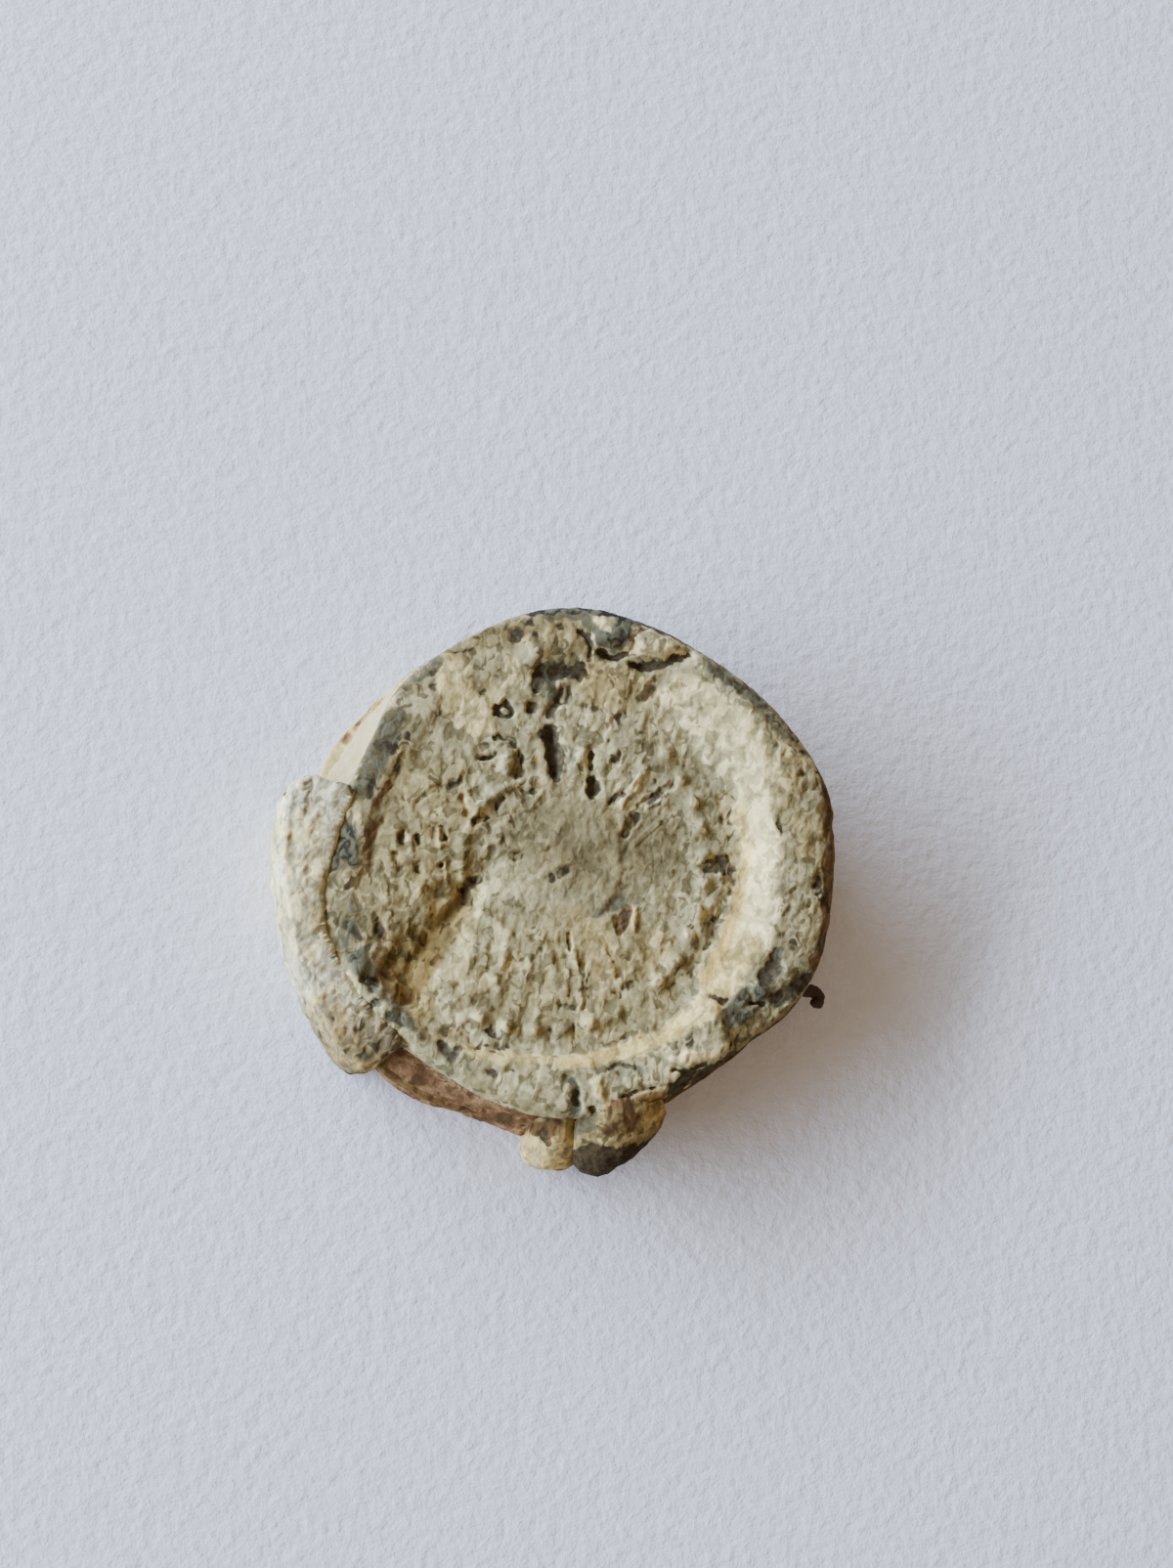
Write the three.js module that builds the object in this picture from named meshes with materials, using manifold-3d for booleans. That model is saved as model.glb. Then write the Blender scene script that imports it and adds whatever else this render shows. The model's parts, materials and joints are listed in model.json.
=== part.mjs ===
// A closed two-leaf lead seal, about 20 mm across, lying face up on its back leaf.
// Two round leaves, joined at one side by a folded strap, were closed on each other and struck.
// The back leaf's rivet passes through the front leaf and is hammered out level with the struck floor.
// Earth fills the thin gap between the leaves, where cloth once was.
// Millimetres, +Z up. The origin is on the rivet's axis, in the plane of the flat back face.
import * as THREE from "three";
import { mergeVertices } from "three/addons/utils/BufferGeometryUtils.js";
import Module from "manifold-3d";

// Leaves and the earth between them, from the back face up
const leafRadius = 9.3;
const backLeafOverhang = 0.3;
const backLeafThickness = 1.1;
const backEdgeWear = 0.35;
const earthThickness = 0.9;
const earthSetBack = 0.1;
const frontLeafFloor = 0.8;

// Struck face of the front leaf
const floorRadius = 7.0;
const slopeReach = 1.0;
const rimHeight = 0.95;
const rimRound = 0.35;
const valleyFrom = [-3.7, -0.4];
const valleyTo = [-7.2, -4.1];
const valleyDepth = 0.3;
const valleyWidth = 1.3;
const tornLipHeight = 0.16;
const chipDepth = 0.4;

// What is left of the design struck by the die, whose centre missed the rivet's axis: a beaded circle,
// an inner ring and worn radial strokes between them
const dieCentre = [-1.64, 0.06];
const beadCircleRadius = 6.2;
const beadSpacing = 1.025;
const firstBead = 2.5;
const beadsFrom = 245;
const beadsTo = 405;
const beadRadius = 0.3;
const beadHeight = 0.14;
const innerRingRadius = 2.9;
const innerRingWidth = 0.4;
const innerRingHeight = 0.07;
const strokeCount = 26;
const strokesFrom = 3.5;
const strokesTo = 4.9;
const strokeHalfWidth = 0.17;
const strokeHeight = 0.09;

// Dents in the struck face: a depth, and a path of [x, y, half width]
const dents = {
  wedge: [0.3, [[-1.28, 4.72, 0.38], [-1.15, 4.2, 0.32], [-1.03, 3.1, 0.2]]],
  shortStroke: [0.12, [[0.25, 4.15, 0.15], [0.21, 3.5, 0.14]]],
  topHollow: [0.16, [[-1.85, 6.95, 0.22], [-0.9, 7.1, 0.24], [-0.2, 7.15, 0.14]]],
  topStreak: [0.1, [[-0.35, 6.6, 0.2], [-0.8, 6.0, 0.2], [-1.3, 5.4, 0.16]]],
  lipSplit: [0.22, [[-0.45, 8.4, 0.1], [0.05, 8.2, 0.15], [0.12, 7.7, 0.1]]],
  lipGapLeft: [0.4, [[0.5, 7.8, 0.1], [0.85, 7.6, 0.16], [1.2, 7.6, 0.16], [1.5, 7.75, 0.1]]],
  lipGapRight: [0.42, [[1.65, 7.48, 0.12], [2.1, 7.3, 0.18], [2.7, 7.34, 0.17], [3.85, 7.8, 0.12]]],
  leftGroove: [0.12, [[-6.6, 4.1, 0.2], [-7.1, 2.7, 0.3], [-7.8, 0.9, 0.4], [-8.1, -0.6, 0.32]]],
  brokenStep: [0.25, [[5.05, -5.3, 0.32], [5.5, -6.2, 0.4], [6.3, -6.2, 0.5]]],
  brokenEdge: [0.45, [[5.7, -7.1, 0.34], [4.8, -7.7, 0.42], [3.5, -8.35, 0.46]]],
};

// Lumps of the torn lip: a height, and such a path
const ridges = {
  lipLeft: [0.14, [[0.45, 8.2, 0.32], [1.35, 8.15, 0.34]]],
  lipRight: [0.16, [[2.0, 7.92, 0.3], [3.3, 7.98, 0.26]]],
};

// Rivet
const rivetShankRadius = 1.5;
const rivetHeadRadius = 2.6;
const rivetHeadHeight = 0.4;
const rivetHeadProud = 0.12;

// Strap folded round the left edge, placed in degrees round the rivet
const strapFrom = 164;
const strapTo = 225;
const strapReach = 1.1;
const strapMetal = 0.75;
const strapBelowRim = 0.75;
const strapLift = 0.15;

// Pour stubs at the lower edge
const frontStubFrom = 268.7;
const frontStubTo = 285.5;
const frontStubReach = 1.5;
const frontStubThickness = 1.9;
const frontStubLift = 0.9;
const backStubFrom = 259.5;
const backStubTo = 268.1;
const backStubReach = 1.15;
const backStubThickness = 1.5;
const backStubLift = 0.2;

// End of a thread that stands out of the earth and hooks down the edge
const threadAt = 333;
const threadRadius = 0.18;
const threadReach = 1.2;
const threadHook = 0.5;

// Clearance between pieces that follow each other's edge
const clearance = 0.1;

// Forms on the struck face: how far they are rooted in the lead, how far past the face their sides
// start to lean, the width of their far side as a share of the near one, and the shortest edge that is
// kept where they meet
const rootDepth = 0.25;
const leanStart = 0.03;
const crestWidthShare = 0.5;
const shortestEdge = 0.01;

// Flat steps in a full turn of the leaves
const stepsRound = 96;

// Heights that follow from the sizes above
const earthBottom = backLeafThickness;
const frontLeafBottom = earthBottom + earthThickness;
const floorHeight = frontLeafBottom + frontLeafFloor;
const rivetSeat = floorHeight + rivetHeadProud - rivetHeadHeight;
const strapTop = floorHeight + rimHeight - strapBelowRim;

const upward = new THREE.Vector3(0, 0, 1);
const { clamp, lerp, smoothstep, degToRad, radToDeg } = THREE.MathUtils;

const wasm = await Module();
wasm.setup();

// A smooth value round the seal through [degrees, value] pairs.
function roundTheSeal(pairs) {
  const turns = [-360, 0, 360].flatMap((turn) =>
    pairs.map(([degrees, value]) => [degrees + turn, value]),
  );
  const angles = turns.map((pair) => pair[0]);
  const values = turns.map((pair) => pair[1]);
  const track = new THREE.CubicInterpolant(angles, values, 1);
  return (degrees) => track.evaluate(((degrees % 360) + 360) % 360)[0];
}

// Radius of each leaf's edge round the seal, as a share of the leaf's plain radius
const frontEdgeShare = roundTheSeal([
  [0, 1.024], [17, 1.054], [32, 1.019], [62, 0.981], [92, 1.02], [124, 0.995], [139, 0.995],
  [153, 0.957], [163, 0.968], [178, 1.011], [193, 1.075], [211, 1.054], [236, 1.0], [261, 1.009],
  [296, 0.973], [313, 0.97], [325, 1.025], [335, 1.039], [347, 1.024],
]);
const backEdgeShare = roundTheSeal([
  [0, 0.964], [50, 0.953], [90, 0.964], [144, 0.997], [158, 1.038], [193, 1.047], [211, 1.063],
  [227, 1.083], [237, 1.068], [249, 1.024], [260, 1.039], [300, 0.969], [330, 0.984],
]);

// Radius of the struck floor, reach of the slope up to the rim and height of the rim round the seal,
// as shares of their plain sizes
const floorShare = roundTheSeal([
  [0, 0.857], [45, 0.843], [62, 0.914], [90, 1.0], [120, 1.05], [150, 1.029], [180, 1.114],
  [205, 1.214], [225, 1.186], [255, 1.0], [290, 0.957], [315, 0.857],
]);
const slopeShare = roundTheSeal([
  [0, 1.1], [25, 1.4], [50, 2.3], [65, 1.9], [90, 1.0], [150, 0.7], [205, 0.6], [240, 0.5], [275, 0.6],
  [300, 0.9], [330, 1.5],
]);
const rimShare = roundTheSeal([
  [0, 1.0], [45, 1.0], [75, 0.85], [105, 0.6], [130, 0.55], [160, 0.75], [182, 0.65], [205, 0.3],
  [228, 0.3], [250, 0.45], [285, 0.65], [310, 0.8], [345, 0.95],
]);

const frontEdge = (degrees) => leafRadius * frontEdgeShare(degrees);
const backEdge = (degrees) => (leafRadius + backLeafOverhang) * backEdgeShare(degrees);
const earthEdge = (degrees) => (frontEdge(degrees) + backEdge(degrees)) / 2 - earthSetBack;
const outerEdge = (degrees) => Math.max(frontEdge(degrees), backEdge(degrees));

// 1 between two angles and 0 outside them, with soft ends.
function softSpan(degrees, from, to, soft) {
  const rise = smoothstep(degrees, from - soft, from + soft);
  return rise * (1 - smoothstep(degrees, to - soft, to + soft));
}

// Sweeps a section round the Z axis. The section is a function of the angle in degrees that gives its
// [radius, height] corners in clockwise order. A sweep of less than a full turn gets flat ends.
function sweptRound(sectionAt, from = 0, to = 360, steps = stepsRound) {
  const fullTurn = to - from === 360;
  const loops = fullTurn ? steps : steps + 1;
  const corners = sectionAt(from).length;
  const positions = [];
  for (let k = 0; k < loops; k++) {
    const degrees = lerp(from, to, k / steps);
    const angle = degToRad(degrees);
    for (const [radius, height] of sectionAt(degrees)) {
      positions.push(radius * Math.cos(angle), radius * Math.sin(angle), height);
    }
  }
  const index = [];
  for (let k = 0; k < steps; k++) {
    const here = k * corners;
    const next = ((k + 1) % loops) * corners;
    for (let c = 0; c < corners; c++) {
      const d = (c + 1) % corners;
      index.push(here + c, here + d, next + c, next + c, here + d, next + d);
    }
  }
  if (!fullTurn) {
    index.push(...flatEnd(sectionAt(from), 0, false));
    index.push(...flatEnd(sectionAt(to), steps * corners, true));
  }
  return closedSkin(positions, index);
}

// Triangles that close one end of a sweep, facing on along it or back.
function flatEnd(section, firstCorner, facesOn) {
  const outline = section.map(([radius, height]) => new THREE.Vector2(radius, height));
  return THREE.ShapeUtils.triangulateShape(outline, []).flatMap(([a, b, c]) => {
    const turnsLeft = THREE.ShapeUtils.area([outline[a], outline[b], outline[c]]) > 0;
    const corners = turnsLeft === facesOn ? [a, c, b] : [a, b, c];
    return corners.map((corner) => corner + firstCorner);
  });
}

// A geometry whose shared corners are merged and whose empty triangles are dropped.
function closedSkin(positions, index) {
  const loose = new THREE.BufferGeometry();
  loose.setAttribute("position", new THREE.Float32BufferAttribute(positions, 3));
  loose.setIndex(Array.from(index));
  const merged = mergeVertices(loose, 1e-3);
  const corners = merged.index.array;
  const kept = [];
  for (let i = 0; i < corners.length; i += 3) {
    const [a, b, c] = corners.slice(i, i + 3);
    if (a !== b && b !== c && c !== a) kept.push(a, b, c);
  }
  merged.setIndex(kept);
  merged.computeVertexNormals();
  return merged;
}

// A solid for joining and cutting, from a closed geometry.
function asSolid(geometry) {
  const vertProperties = new Float32Array(geometry.attributes.position.array);
  const triVerts = new Uint32Array(geometry.index.array);
  return new wasm.Manifold(new wasm.Mesh({ numProp: 3, vertProperties, triVerts }));
}

// A sweep along part of the leaves' edge. The section also gets its share, 0 to 1, of the way along.
function sweptAlongEdge(sectionAt, from, to, steps) {
  const shared = (degrees) => sectionAt(degrees, (degrees - from) / (to - from));
  return sweptRound(shared, from, to, steps);
}

// Depth of the diagonal valley in the struck floor, left of the rivet.
const valleyLine = new THREE.Line3(
  new THREE.Vector3(...valleyFrom, 0),
  new THREE.Vector3(...valleyTo, 0),
);

function valleyAt(radius, degrees) {
  const point = new THREE.Vector3(radius, 0, 0).applyAxisAngle(upward, degToRad(degrees));
  const nearest = valleyLine.closestPointToPoint(point, true, new THREE.Vector3());
  return valleyDepth * Math.exp(-((point.distanceTo(nearest) / (valleyWidth / 2)) ** 2));
}

// Section of the plain front leaf: hole, rivet seat, struck floor, slope, rim, rounded edge and flat
// underside.
function frontLeafSection(degrees) {
  const holeRadius = rivetShankRadius + clearance;
  const seatRadius = rivetHeadRadius + clearance;
  const edge = frontEdge(degrees);
  const shoulder = edge - rimRound;
  const floorEdge = Math.min(floorRadius * floorShare(degrees), shoulder - 0.3 * rimRound);
  const crest = Math.min(floorEdge + slopeReach * slopeShare(degrees), shoulder - 0.1 * rimRound);
  const chip = chipDepth * softSpan(degrees, 314, 337, 3);
  const lip = tornLipHeight * softSpan(degrees, 64, 88, 3);
  const rise = rimHeight * rimShare(degrees);
  const rimTop = floorHeight + rise - chip;
  const section = [
    [holeRadius, frontLeafBottom],
    [holeRadius, rivetSeat],
    [seatRadius, rivetSeat],
  ];
  for (const share of [0, 0.17, 0.34, 0.5, 0.65, 0.8, 0.92]) {
    const radius = lerp(seatRadius, floorEdge, share);
    section.push([radius, floorHeight - valleyAt(radius, degrees)]);
  }
  for (const share of [0, 0.25, 0.5, 0.75, 1]) {
    const radius = lerp(floorEdge, crest, share);
    const height = lerp(floorHeight, rimTop, smoothstep(share, -0.1, 1.1));
    section.push([radius, height - (1 - share) * valleyAt(radius, degrees)]);
  }
  section.push([lerp(crest, shoulder, 0.5), rimTop + lip]);
  section.push([shoulder, rimTop - 0.15 * rise]);
  section.push([edge - 0.3 * rimRound, rimTop - 0.15 * rise - 0.6 * rimRound]);
  section.push([edge, lerp(frontLeafBottom, rimTop, 0.4)]);
  section.push([edge - 0.3 * rimRound, frontLeafBottom]);
  return section;
}

// Height of the plain struck face over a point.
function faceHeight(x, y) {
  const radius = Math.hypot(x, y);
  const face = frontLeafSection(radToDeg(Math.atan2(y, x))).slice(3, -2);
  const inner = face.findLast((corner) => corner[0] <= radius) ?? face[0];
  const outer = face.find((corner) => corner[0] > radius) ?? face.at(-1);
  if (inner === outer) return inner[1];
  return lerp(inner[1], outer[1], (radius - inner[0]) / (outer[0] - inner[0]));
}

// Outline round a path of [x, y, half width], with a blunt point at each end.
function outlineOf(path, widthShare) {
  const left = [];
  const right = [];
  path.forEach(([x, y, halfWidth], k) => {
    const [fromX, fromY] = path[Math.max(k - 1, 0)];
    const [toX, toY] = path[Math.min(k + 1, path.length - 1)];
    const length = Math.hypot(toX - fromX, toY - fromY);
    const [alongX, alongY] = [(toX - fromX) / length, (toY - fromY) / length];
    const reach = halfWidth * widthShare;
    if (k === 0) left.push([x - alongX * reach, y - alongY * reach]);
    left.push([x - alongY * reach, y + alongX * reach]);
    right.unshift([x + alongY * reach, y - alongX * reach]);
    if (k === path.length - 1) left.push([x + alongX * reach, y + alongY * reach]);
  });
  return [...left, ...right];
}

// A tapered bar along a path on the struck face. It stands out by its height, or goes in where the
// height is negative, and reaches a set way past the face on the other side.
function barOnFace(path, height, past) {
  const levels = [
    [past, 1],
    [Math.sign(past) * leanStart, 1],
    [height, crestWidthShare],
  ];
  if (height > 0) levels.reverse();
  const positions = [];
  for (const [offset, widthShare] of levels) {
    for (const [x, y] of outlineOf(path, widthShare)) {
      positions.push(x, y, faceHeight(x, y) + offset);
    }
  }
  const corners = 2 * path.length + 2;
  const index = [];
  for (let level = 0; level < 2; level++) {
    for (let c = 0; c < corners; c++) {
      const here = level * corners + c;
      const beside = level * corners + ((c + 1) % corners);
      index.push(here, beside, here + corners, here + corners, beside, beside + corners);
    }
  }
  const lastLevel = 2 * corners;
  for (let c = 0; c < path.length; c++) {
    const right = corners - 1 - c;
    const across = c === 0 ? 0 : right + 1;
    for (const [first, second, third] of [[across, c + 1, right], [across, c, c + 1]]) {
      if (first === second) continue;
      index.push(first, third, second);
      index.push(first + lastLevel, second + lastLevel, third + lastLevel);
    }
  }
  index.push(path.length, path.length + 2, path.length + 1);
  index.push(lastLevel + path.length, lastLevel + path.length + 1, lastLevel + path.length + 2);
  return closedSkin(positions, index);
}

// A point of the struck design, given round the die's centre.
function diePoint(radius, degrees) {
  const angle = degToRad(degrees);
  return [dieCentre[0] + radius * Math.cos(angle), dieCentre[1] + radius * Math.sin(angle)];
}

// Beads of the outer circle, where they are left.
function beadGeometries() {
  const profile = [
    [0, -rootDepth],
    [beadRadius, -rootDepth],
    [beadRadius, -leanStart],
    [0.65 * beadRadius, 0.75 * beadHeight],
    [0, beadHeight],
  ].map(([radius, height]) => new THREE.Vector2(radius, height));
  const count = Math.round((2 * Math.PI * beadCircleRadius) / beadSpacing);
  const beads = [];
  for (let k = 0; k < count; k++) {
    const turn = firstBead + (360 * k) / count;
    const degrees = turn < beadsFrom ? turn + 360 : turn;
    if (degrees > beadsTo) continue;
    const [x, y] = diePoint(beadCircleRadius, degrees);
    const bead = new THREE.LatheGeometry(profile, 8).rotateX(Math.PI / 2);
    bead.translate(x, y, faceHeight(x, y));
    beads.push(closedSkin(bead.attributes.position.array, bead.index.array));
  }
  return beads;
}

// Worn bars of the struck design, on the inner ring and across it, clear of the rivet's seat.
function strokeGeometries() {
  const clearOfRivet = rivetHeadRadius + clearance + innerRingWidth;
  const bars = [];
  const addBar = (path, height) => {
    const kept = path.filter(([x, y]) => Math.hypot(x, y) > clearOfRivet);
    if (kept.length > 1) bars.push(barOnFace(kept, height, -rootDepth));
  };
  const ringSteps = 36;
  const ring = Array.from({ length: ringSteps }, (_, k) => [
    ...diePoint(innerRingRadius, (360 * k) / ringSteps),
    innerRingWidth / 2,
  ]);
  addBar(ring, innerRingHeight);
  for (let k = 0; k < strokeCount; k++) {
    const degrees = (360 * k) / strokeCount;
    const stroke = [0, 0.35, 0.7, 1].map((share) => [
      ...diePoint(lerp(strokesFrom, strokesTo, share), degrees),
      strokeHalfWidth,
    ]);
    addBar(stroke, strokeHeight);
  }
  return bars;
}

// The front leaf with its struck design, its lip and its dents.
function frontLeafGeometry() {
  const above = rimHeight + clearance;
  let leaf = asSolid(sweptRound(frontLeafSection));
  for (const form of [...beadGeometries(), ...strokeGeometries()]) leaf = leaf.add(asSolid(form));
  for (const [height, path] of Object.values(ridges)) {
    leaf = leaf.add(asSolid(barOnFace(path, height, -rootDepth)));
  }
  for (const [depth, path] of Object.values(dents)) {
    leaf = leaf.subtract(asSolid(barOnFace(path, -depth, above)));
  }
  const mesh = leaf.simplify(shortestEdge).getMesh();
  const skin = new THREE.BufferGeometry();
  skin.setAttribute("position", new THREE.Float32BufferAttribute(mesh.vertProperties, 3));
  skin.setIndex(Array.from(mesh.triVerts));
  skin.computeVertexNormals();
  return skin;
}

// Section of the back leaf: a solid disc with a worn lower edge and a flat top under the earth.
function backLeafSection(degrees) {
  const edge = backEdge(degrees);
  return [
    [0, 0],
    [0, backLeafThickness],
    [edge - 0.4 * backEdgeWear, backLeafThickness],
    [edge, 0.7 * backLeafThickness],
    [edge - 0.15 * backEdgeWear, 0.35 * backLeafThickness],
    [edge - 0.7 * backEdgeWear, 0.1 * backLeafThickness],
    [edge - 1.6 * backEdgeWear, 0],
  ];
}

// Section of the earth between the leaves, with the rivet's shank through it.
function earthSection(degrees) {
  const inner = rivetShankRadius + clearance;
  const edge = earthEdge(degrees);
  return [
    [inner, earthBottom],
    [inner, frontLeafBottom],
    [edge - 0.1 * earthThickness, frontLeafBottom],
    [edge, earthBottom + 0.5 * earthThickness],
    [edge - 0.1 * earthThickness, earthBottom],
  ];
}

// Section of the rivet: shank up from the back leaf, and the head hammered out over its seat.
function rivetSection() {
  return [
    [0, backLeafThickness],
    [0, rivetSeat + rivetHeadHeight],
    [0.35 * rivetHeadRadius, rivetSeat + 0.98 * rivetHeadHeight],
    [0.7 * rivetHeadRadius, rivetSeat + 0.88 * rivetHeadHeight],
    [0.93 * rivetHeadRadius, rivetSeat + 0.7 * rivetHeadHeight],
    [rivetHeadRadius, rivetSeat + 0.5 * rivetHeadHeight],
    [rivetHeadRadius, rivetSeat],
    [rivetShankRadius, rivetSeat],
    [rivetShankRadius, backLeafThickness],
  ];
}

// Reach of a blunt lump at a share 0 to 1 of its width. Each rounded corner takes a share of the width.
function bluntReach(reach, share, cornerShare) {
  const fromCorner = clamp(Math.min(share, 1 - share) / cornerShare, 0, 1);
  return reach * (0.3 + 0.7 * Math.sqrt(1 - (1 - fromCorner) ** 2));
}

// Section of the strap: lead bent round the gap, open inside the bend where the earth goes in.
function strapSection(degrees, share) {
  const low = backEdge(degrees) + clearance;
  const high = frontEdge(degrees) + clearance;
  const base = outerEdge(degrees) + clearance;
  const reach = bluntReach(strapReach, share, 0.12);
  const bend = base + Math.max(reach - strapMetal, 0.1 * reach);
  const middle = (strapTop + strapLift) / 2;
  const section = [
    [low, strapLift],
    [low, earthBottom],
    [bend, earthBottom + 0.2 * earthThickness],
    [bend, frontLeafBottom - 0.2 * earthThickness],
    [high, frontLeafBottom],
    [high, strapTop],
  ];
  for (const turn of [75, 45, 15, -15, -45, -75]) {
    const outer = base + reach * (0.6 + 0.4 * Math.cos(degToRad(turn)));
    section.push([outer, middle + (middle - strapLift) * Math.sin(degToRad(turn))]);
  }
  return section;
}

// Outer side of a stub: a rounded lump between two heights, from its top round to its underside.
function stubNose(base, outer, bottom, height) {
  return [
    [lerp(base, outer, 0.6), bottom + 0.95 * height],
    [lerp(base, outer, 0.9), bottom + 0.75 * height],
    [outer, bottom + 0.45 * height],
    [lerp(base, outer, 0.92), bottom + 0.15 * height],
    [lerp(base, outer, 0.7), bottom],
  ];
}

// Section of the front leaf's stub: it starts at the front leaf's edge and hangs down outside the gap.
function frontStubSection(degrees, share) {
  const high = frontEdge(degrees) + clearance;
  const base = outerEdge(degrees) + clearance;
  const top = frontStubLift + frontStubThickness * lerp(0.75, 1, Math.sin(Math.PI * share));
  const outer = base + bluntReach(frontStubReach, share, 0.35);
  return [
    [base, frontStubLift],
    [base, frontLeafBottom],
    [high, frontLeafBottom],
    [high, Math.max(top, frontLeafBottom + clearance)],
    ...stubNose(base, outer, frontStubLift, top - frontStubLift),
  ];
}

// Section of the back leaf's stub.
function backStubSection(degrees, share) {
  const base = outerEdge(degrees) + clearance;
  const height = backStubThickness * lerp(0.6, 1, Math.sin(Math.PI * share));
  const outer = base + bluntReach(backStubReach, share, 0.4);
  return [
    [base, backStubLift],
    [base, backStubLift + height],
    ...stubNose(base, outer, backStubLift, height),
  ];
}

// The thread's end: it leaves the earth between the leaves and hooks down the edge clockwise.
function threadGeometry() {
  const root = earthEdge(threadAt) + clearance;
  const middle = earthBottom + earthThickness / 2;
  const points = [[0, 0], [0.4, 0.1], [0.75, 0.4], [0.97, 0.1], [1, -0.6]].map(
    ([out, up]) => new THREE.Vector3(root + threadReach * out, threadHook * up, middle),
  );
  const round = new THREE.Shape().absellipse(0, 0, threadRadius, threadRadius, 0, 2 * Math.PI);
  const path = new THREE.CatmullRomCurve3(points);
  const tube = new THREE.ExtrudeGeometry(round, { steps: 9, curveSegments: 4, extrudePath: path });
  tube.deleteAttribute("normal");
  tube.deleteAttribute("uv");
  return tube.rotateZ(degToRad(threadAt));
}

const finishes = {
  oxidisedLead: { color: 0xb4aa8c, roughness: 0.9, metalness: 0.1 },
  bareLead: { color: 0x5a5c55, roughness: 0.7, metalness: 0.4 },
  earth: { color: 0xa07a60, roughness: 1.0, metalness: 0.0 },
  thread: { color: 0x41301f, roughness: 0.9, metalness: 0.0 },
};

const seal = new THREE.Group();

function addPiece(name, geometry, finish) {
  const piece = new THREE.Mesh(geometry, new THREE.MeshStandardMaterial(finishes[finish]));
  piece.name = name;
  seal.add(piece);
}

addPiece("back_leaf", sweptRound(backLeafSection), "oxidisedLead");
addPiece("gap_earth", sweptRound(earthSection), "earth");
addPiece("front_leaf", frontLeafGeometry(), "oxidisedLead");
addPiece("rivet", sweptRound(rivetSection), "oxidisedLead");
addPiece("fold_strap", sweptAlongEdge(strapSection, strapFrom, strapTo, 32), "oxidisedLead");
addPiece("front_stub", sweptAlongEdge(frontStubSection, frontStubFrom, frontStubTo, 14), "bareLead");
addPiece("back_stub", sweptAlongEdge(backStubSection, backStubFrom, backStubTo, 12), "oxidisedLead");
addPiece("thread_stub", threadGeometry(), "thread");

export default seal;
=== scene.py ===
"""Looks of a closed two-leaf lead seal, corroded and worn, lying on a sheet of pale paper."""

import json
import math

import bpy
import numpy as np
from bpy.props import FloatProperty, FloatVectorProperty, IntProperty, PointerProperty
from mathutils import Matrix, Vector
from mathutils.bvhtree import BVHTree

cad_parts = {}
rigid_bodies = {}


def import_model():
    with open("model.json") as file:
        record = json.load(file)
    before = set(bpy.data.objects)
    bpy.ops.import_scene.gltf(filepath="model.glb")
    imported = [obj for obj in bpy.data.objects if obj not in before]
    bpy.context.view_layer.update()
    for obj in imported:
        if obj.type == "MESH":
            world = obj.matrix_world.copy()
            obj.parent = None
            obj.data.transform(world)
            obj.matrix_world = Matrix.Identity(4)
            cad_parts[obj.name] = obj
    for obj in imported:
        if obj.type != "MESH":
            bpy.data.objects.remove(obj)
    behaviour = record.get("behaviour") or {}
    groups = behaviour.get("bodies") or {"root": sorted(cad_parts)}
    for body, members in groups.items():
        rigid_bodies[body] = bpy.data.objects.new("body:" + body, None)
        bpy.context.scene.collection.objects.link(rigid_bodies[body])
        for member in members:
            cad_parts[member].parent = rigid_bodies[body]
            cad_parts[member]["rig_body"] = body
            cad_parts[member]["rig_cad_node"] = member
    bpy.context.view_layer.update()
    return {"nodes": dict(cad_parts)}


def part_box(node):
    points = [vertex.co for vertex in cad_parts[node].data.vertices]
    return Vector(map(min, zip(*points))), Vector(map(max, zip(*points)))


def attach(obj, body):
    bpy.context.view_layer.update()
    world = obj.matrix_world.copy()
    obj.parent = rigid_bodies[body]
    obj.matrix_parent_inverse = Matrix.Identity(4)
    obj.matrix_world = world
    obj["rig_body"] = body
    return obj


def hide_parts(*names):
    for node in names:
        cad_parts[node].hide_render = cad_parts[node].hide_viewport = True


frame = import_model()

bl_info = {
    "name": "Lead Seal",
    "version": (1, 0, 0),
    "blender": (4, 5, 0),
    "location": "View3D > Sidebar > Lead Seal",
    "description": "Builds the worn pieces of a lead seal round its packed solids",
    "category": "Object",
}

MM = 0.001
FULL_TURN = 2 * math.pi

# Stains on a piece's points: dark soil, rust-brown earth, bare metal, cream bloom, a darker tone, a warmer
# tone, and calm, where the crust is less mottled. At the marks so noted, soil, rust and the darker tone
# also paint shade, and bloom paints a highlight
STAINS = ("soil", "rust", "bare", "bloom", "shade", "warm", "calm")

# Where rays start, in millimetres: beside the seal, over it, and out from a leaf's edge
BESIDE = 20
OVER = 8.0
OUT_FROM_EDGE = 5

# How far the rivet's head and the leaf run under each other, and how deep, in millimetres
SEAM_REACH = 0.12
SEAM_DEPTH = 0.025

# From the rivet's head to where the floor round it is measured, and down to its hidden seat
FLOOR_OFF_HEAD = 0.14
SEAT_DEPTH = 0.5

# Radius of the hidden hole in the leaf and the earth, and of the hidden shank, as shares of the head's
HOLE_SHARE = 0.7
SHANK_SHARE = 0.55

# How far inside a leaf's edge the fan of rays round that edge is centred
EDGE_INSET = 0.7

# Shares of a mark's half width up to which it is full, and past which it is gone
MARK_FULL = 0.55
MARK_GONE = 1.35

# Colours of each crust's light blobs, of what lies between, and of its dark flecks
CRUST_TONES = {
    "lead_crust": ("crust_light", "crust", "crust_dark"),
    "strap_crust": ("strap_light", "strap", "strap_dark"),
}


def circle_path(x, y, radius, half_width, count=10):
    """A closed round path."""
    turns = [FULL_TURN * k / count for k in range(count + 1)]
    return [(x + radius * math.cos(t), y + radius * math.sin(t), half_width) for t in turns]
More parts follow.
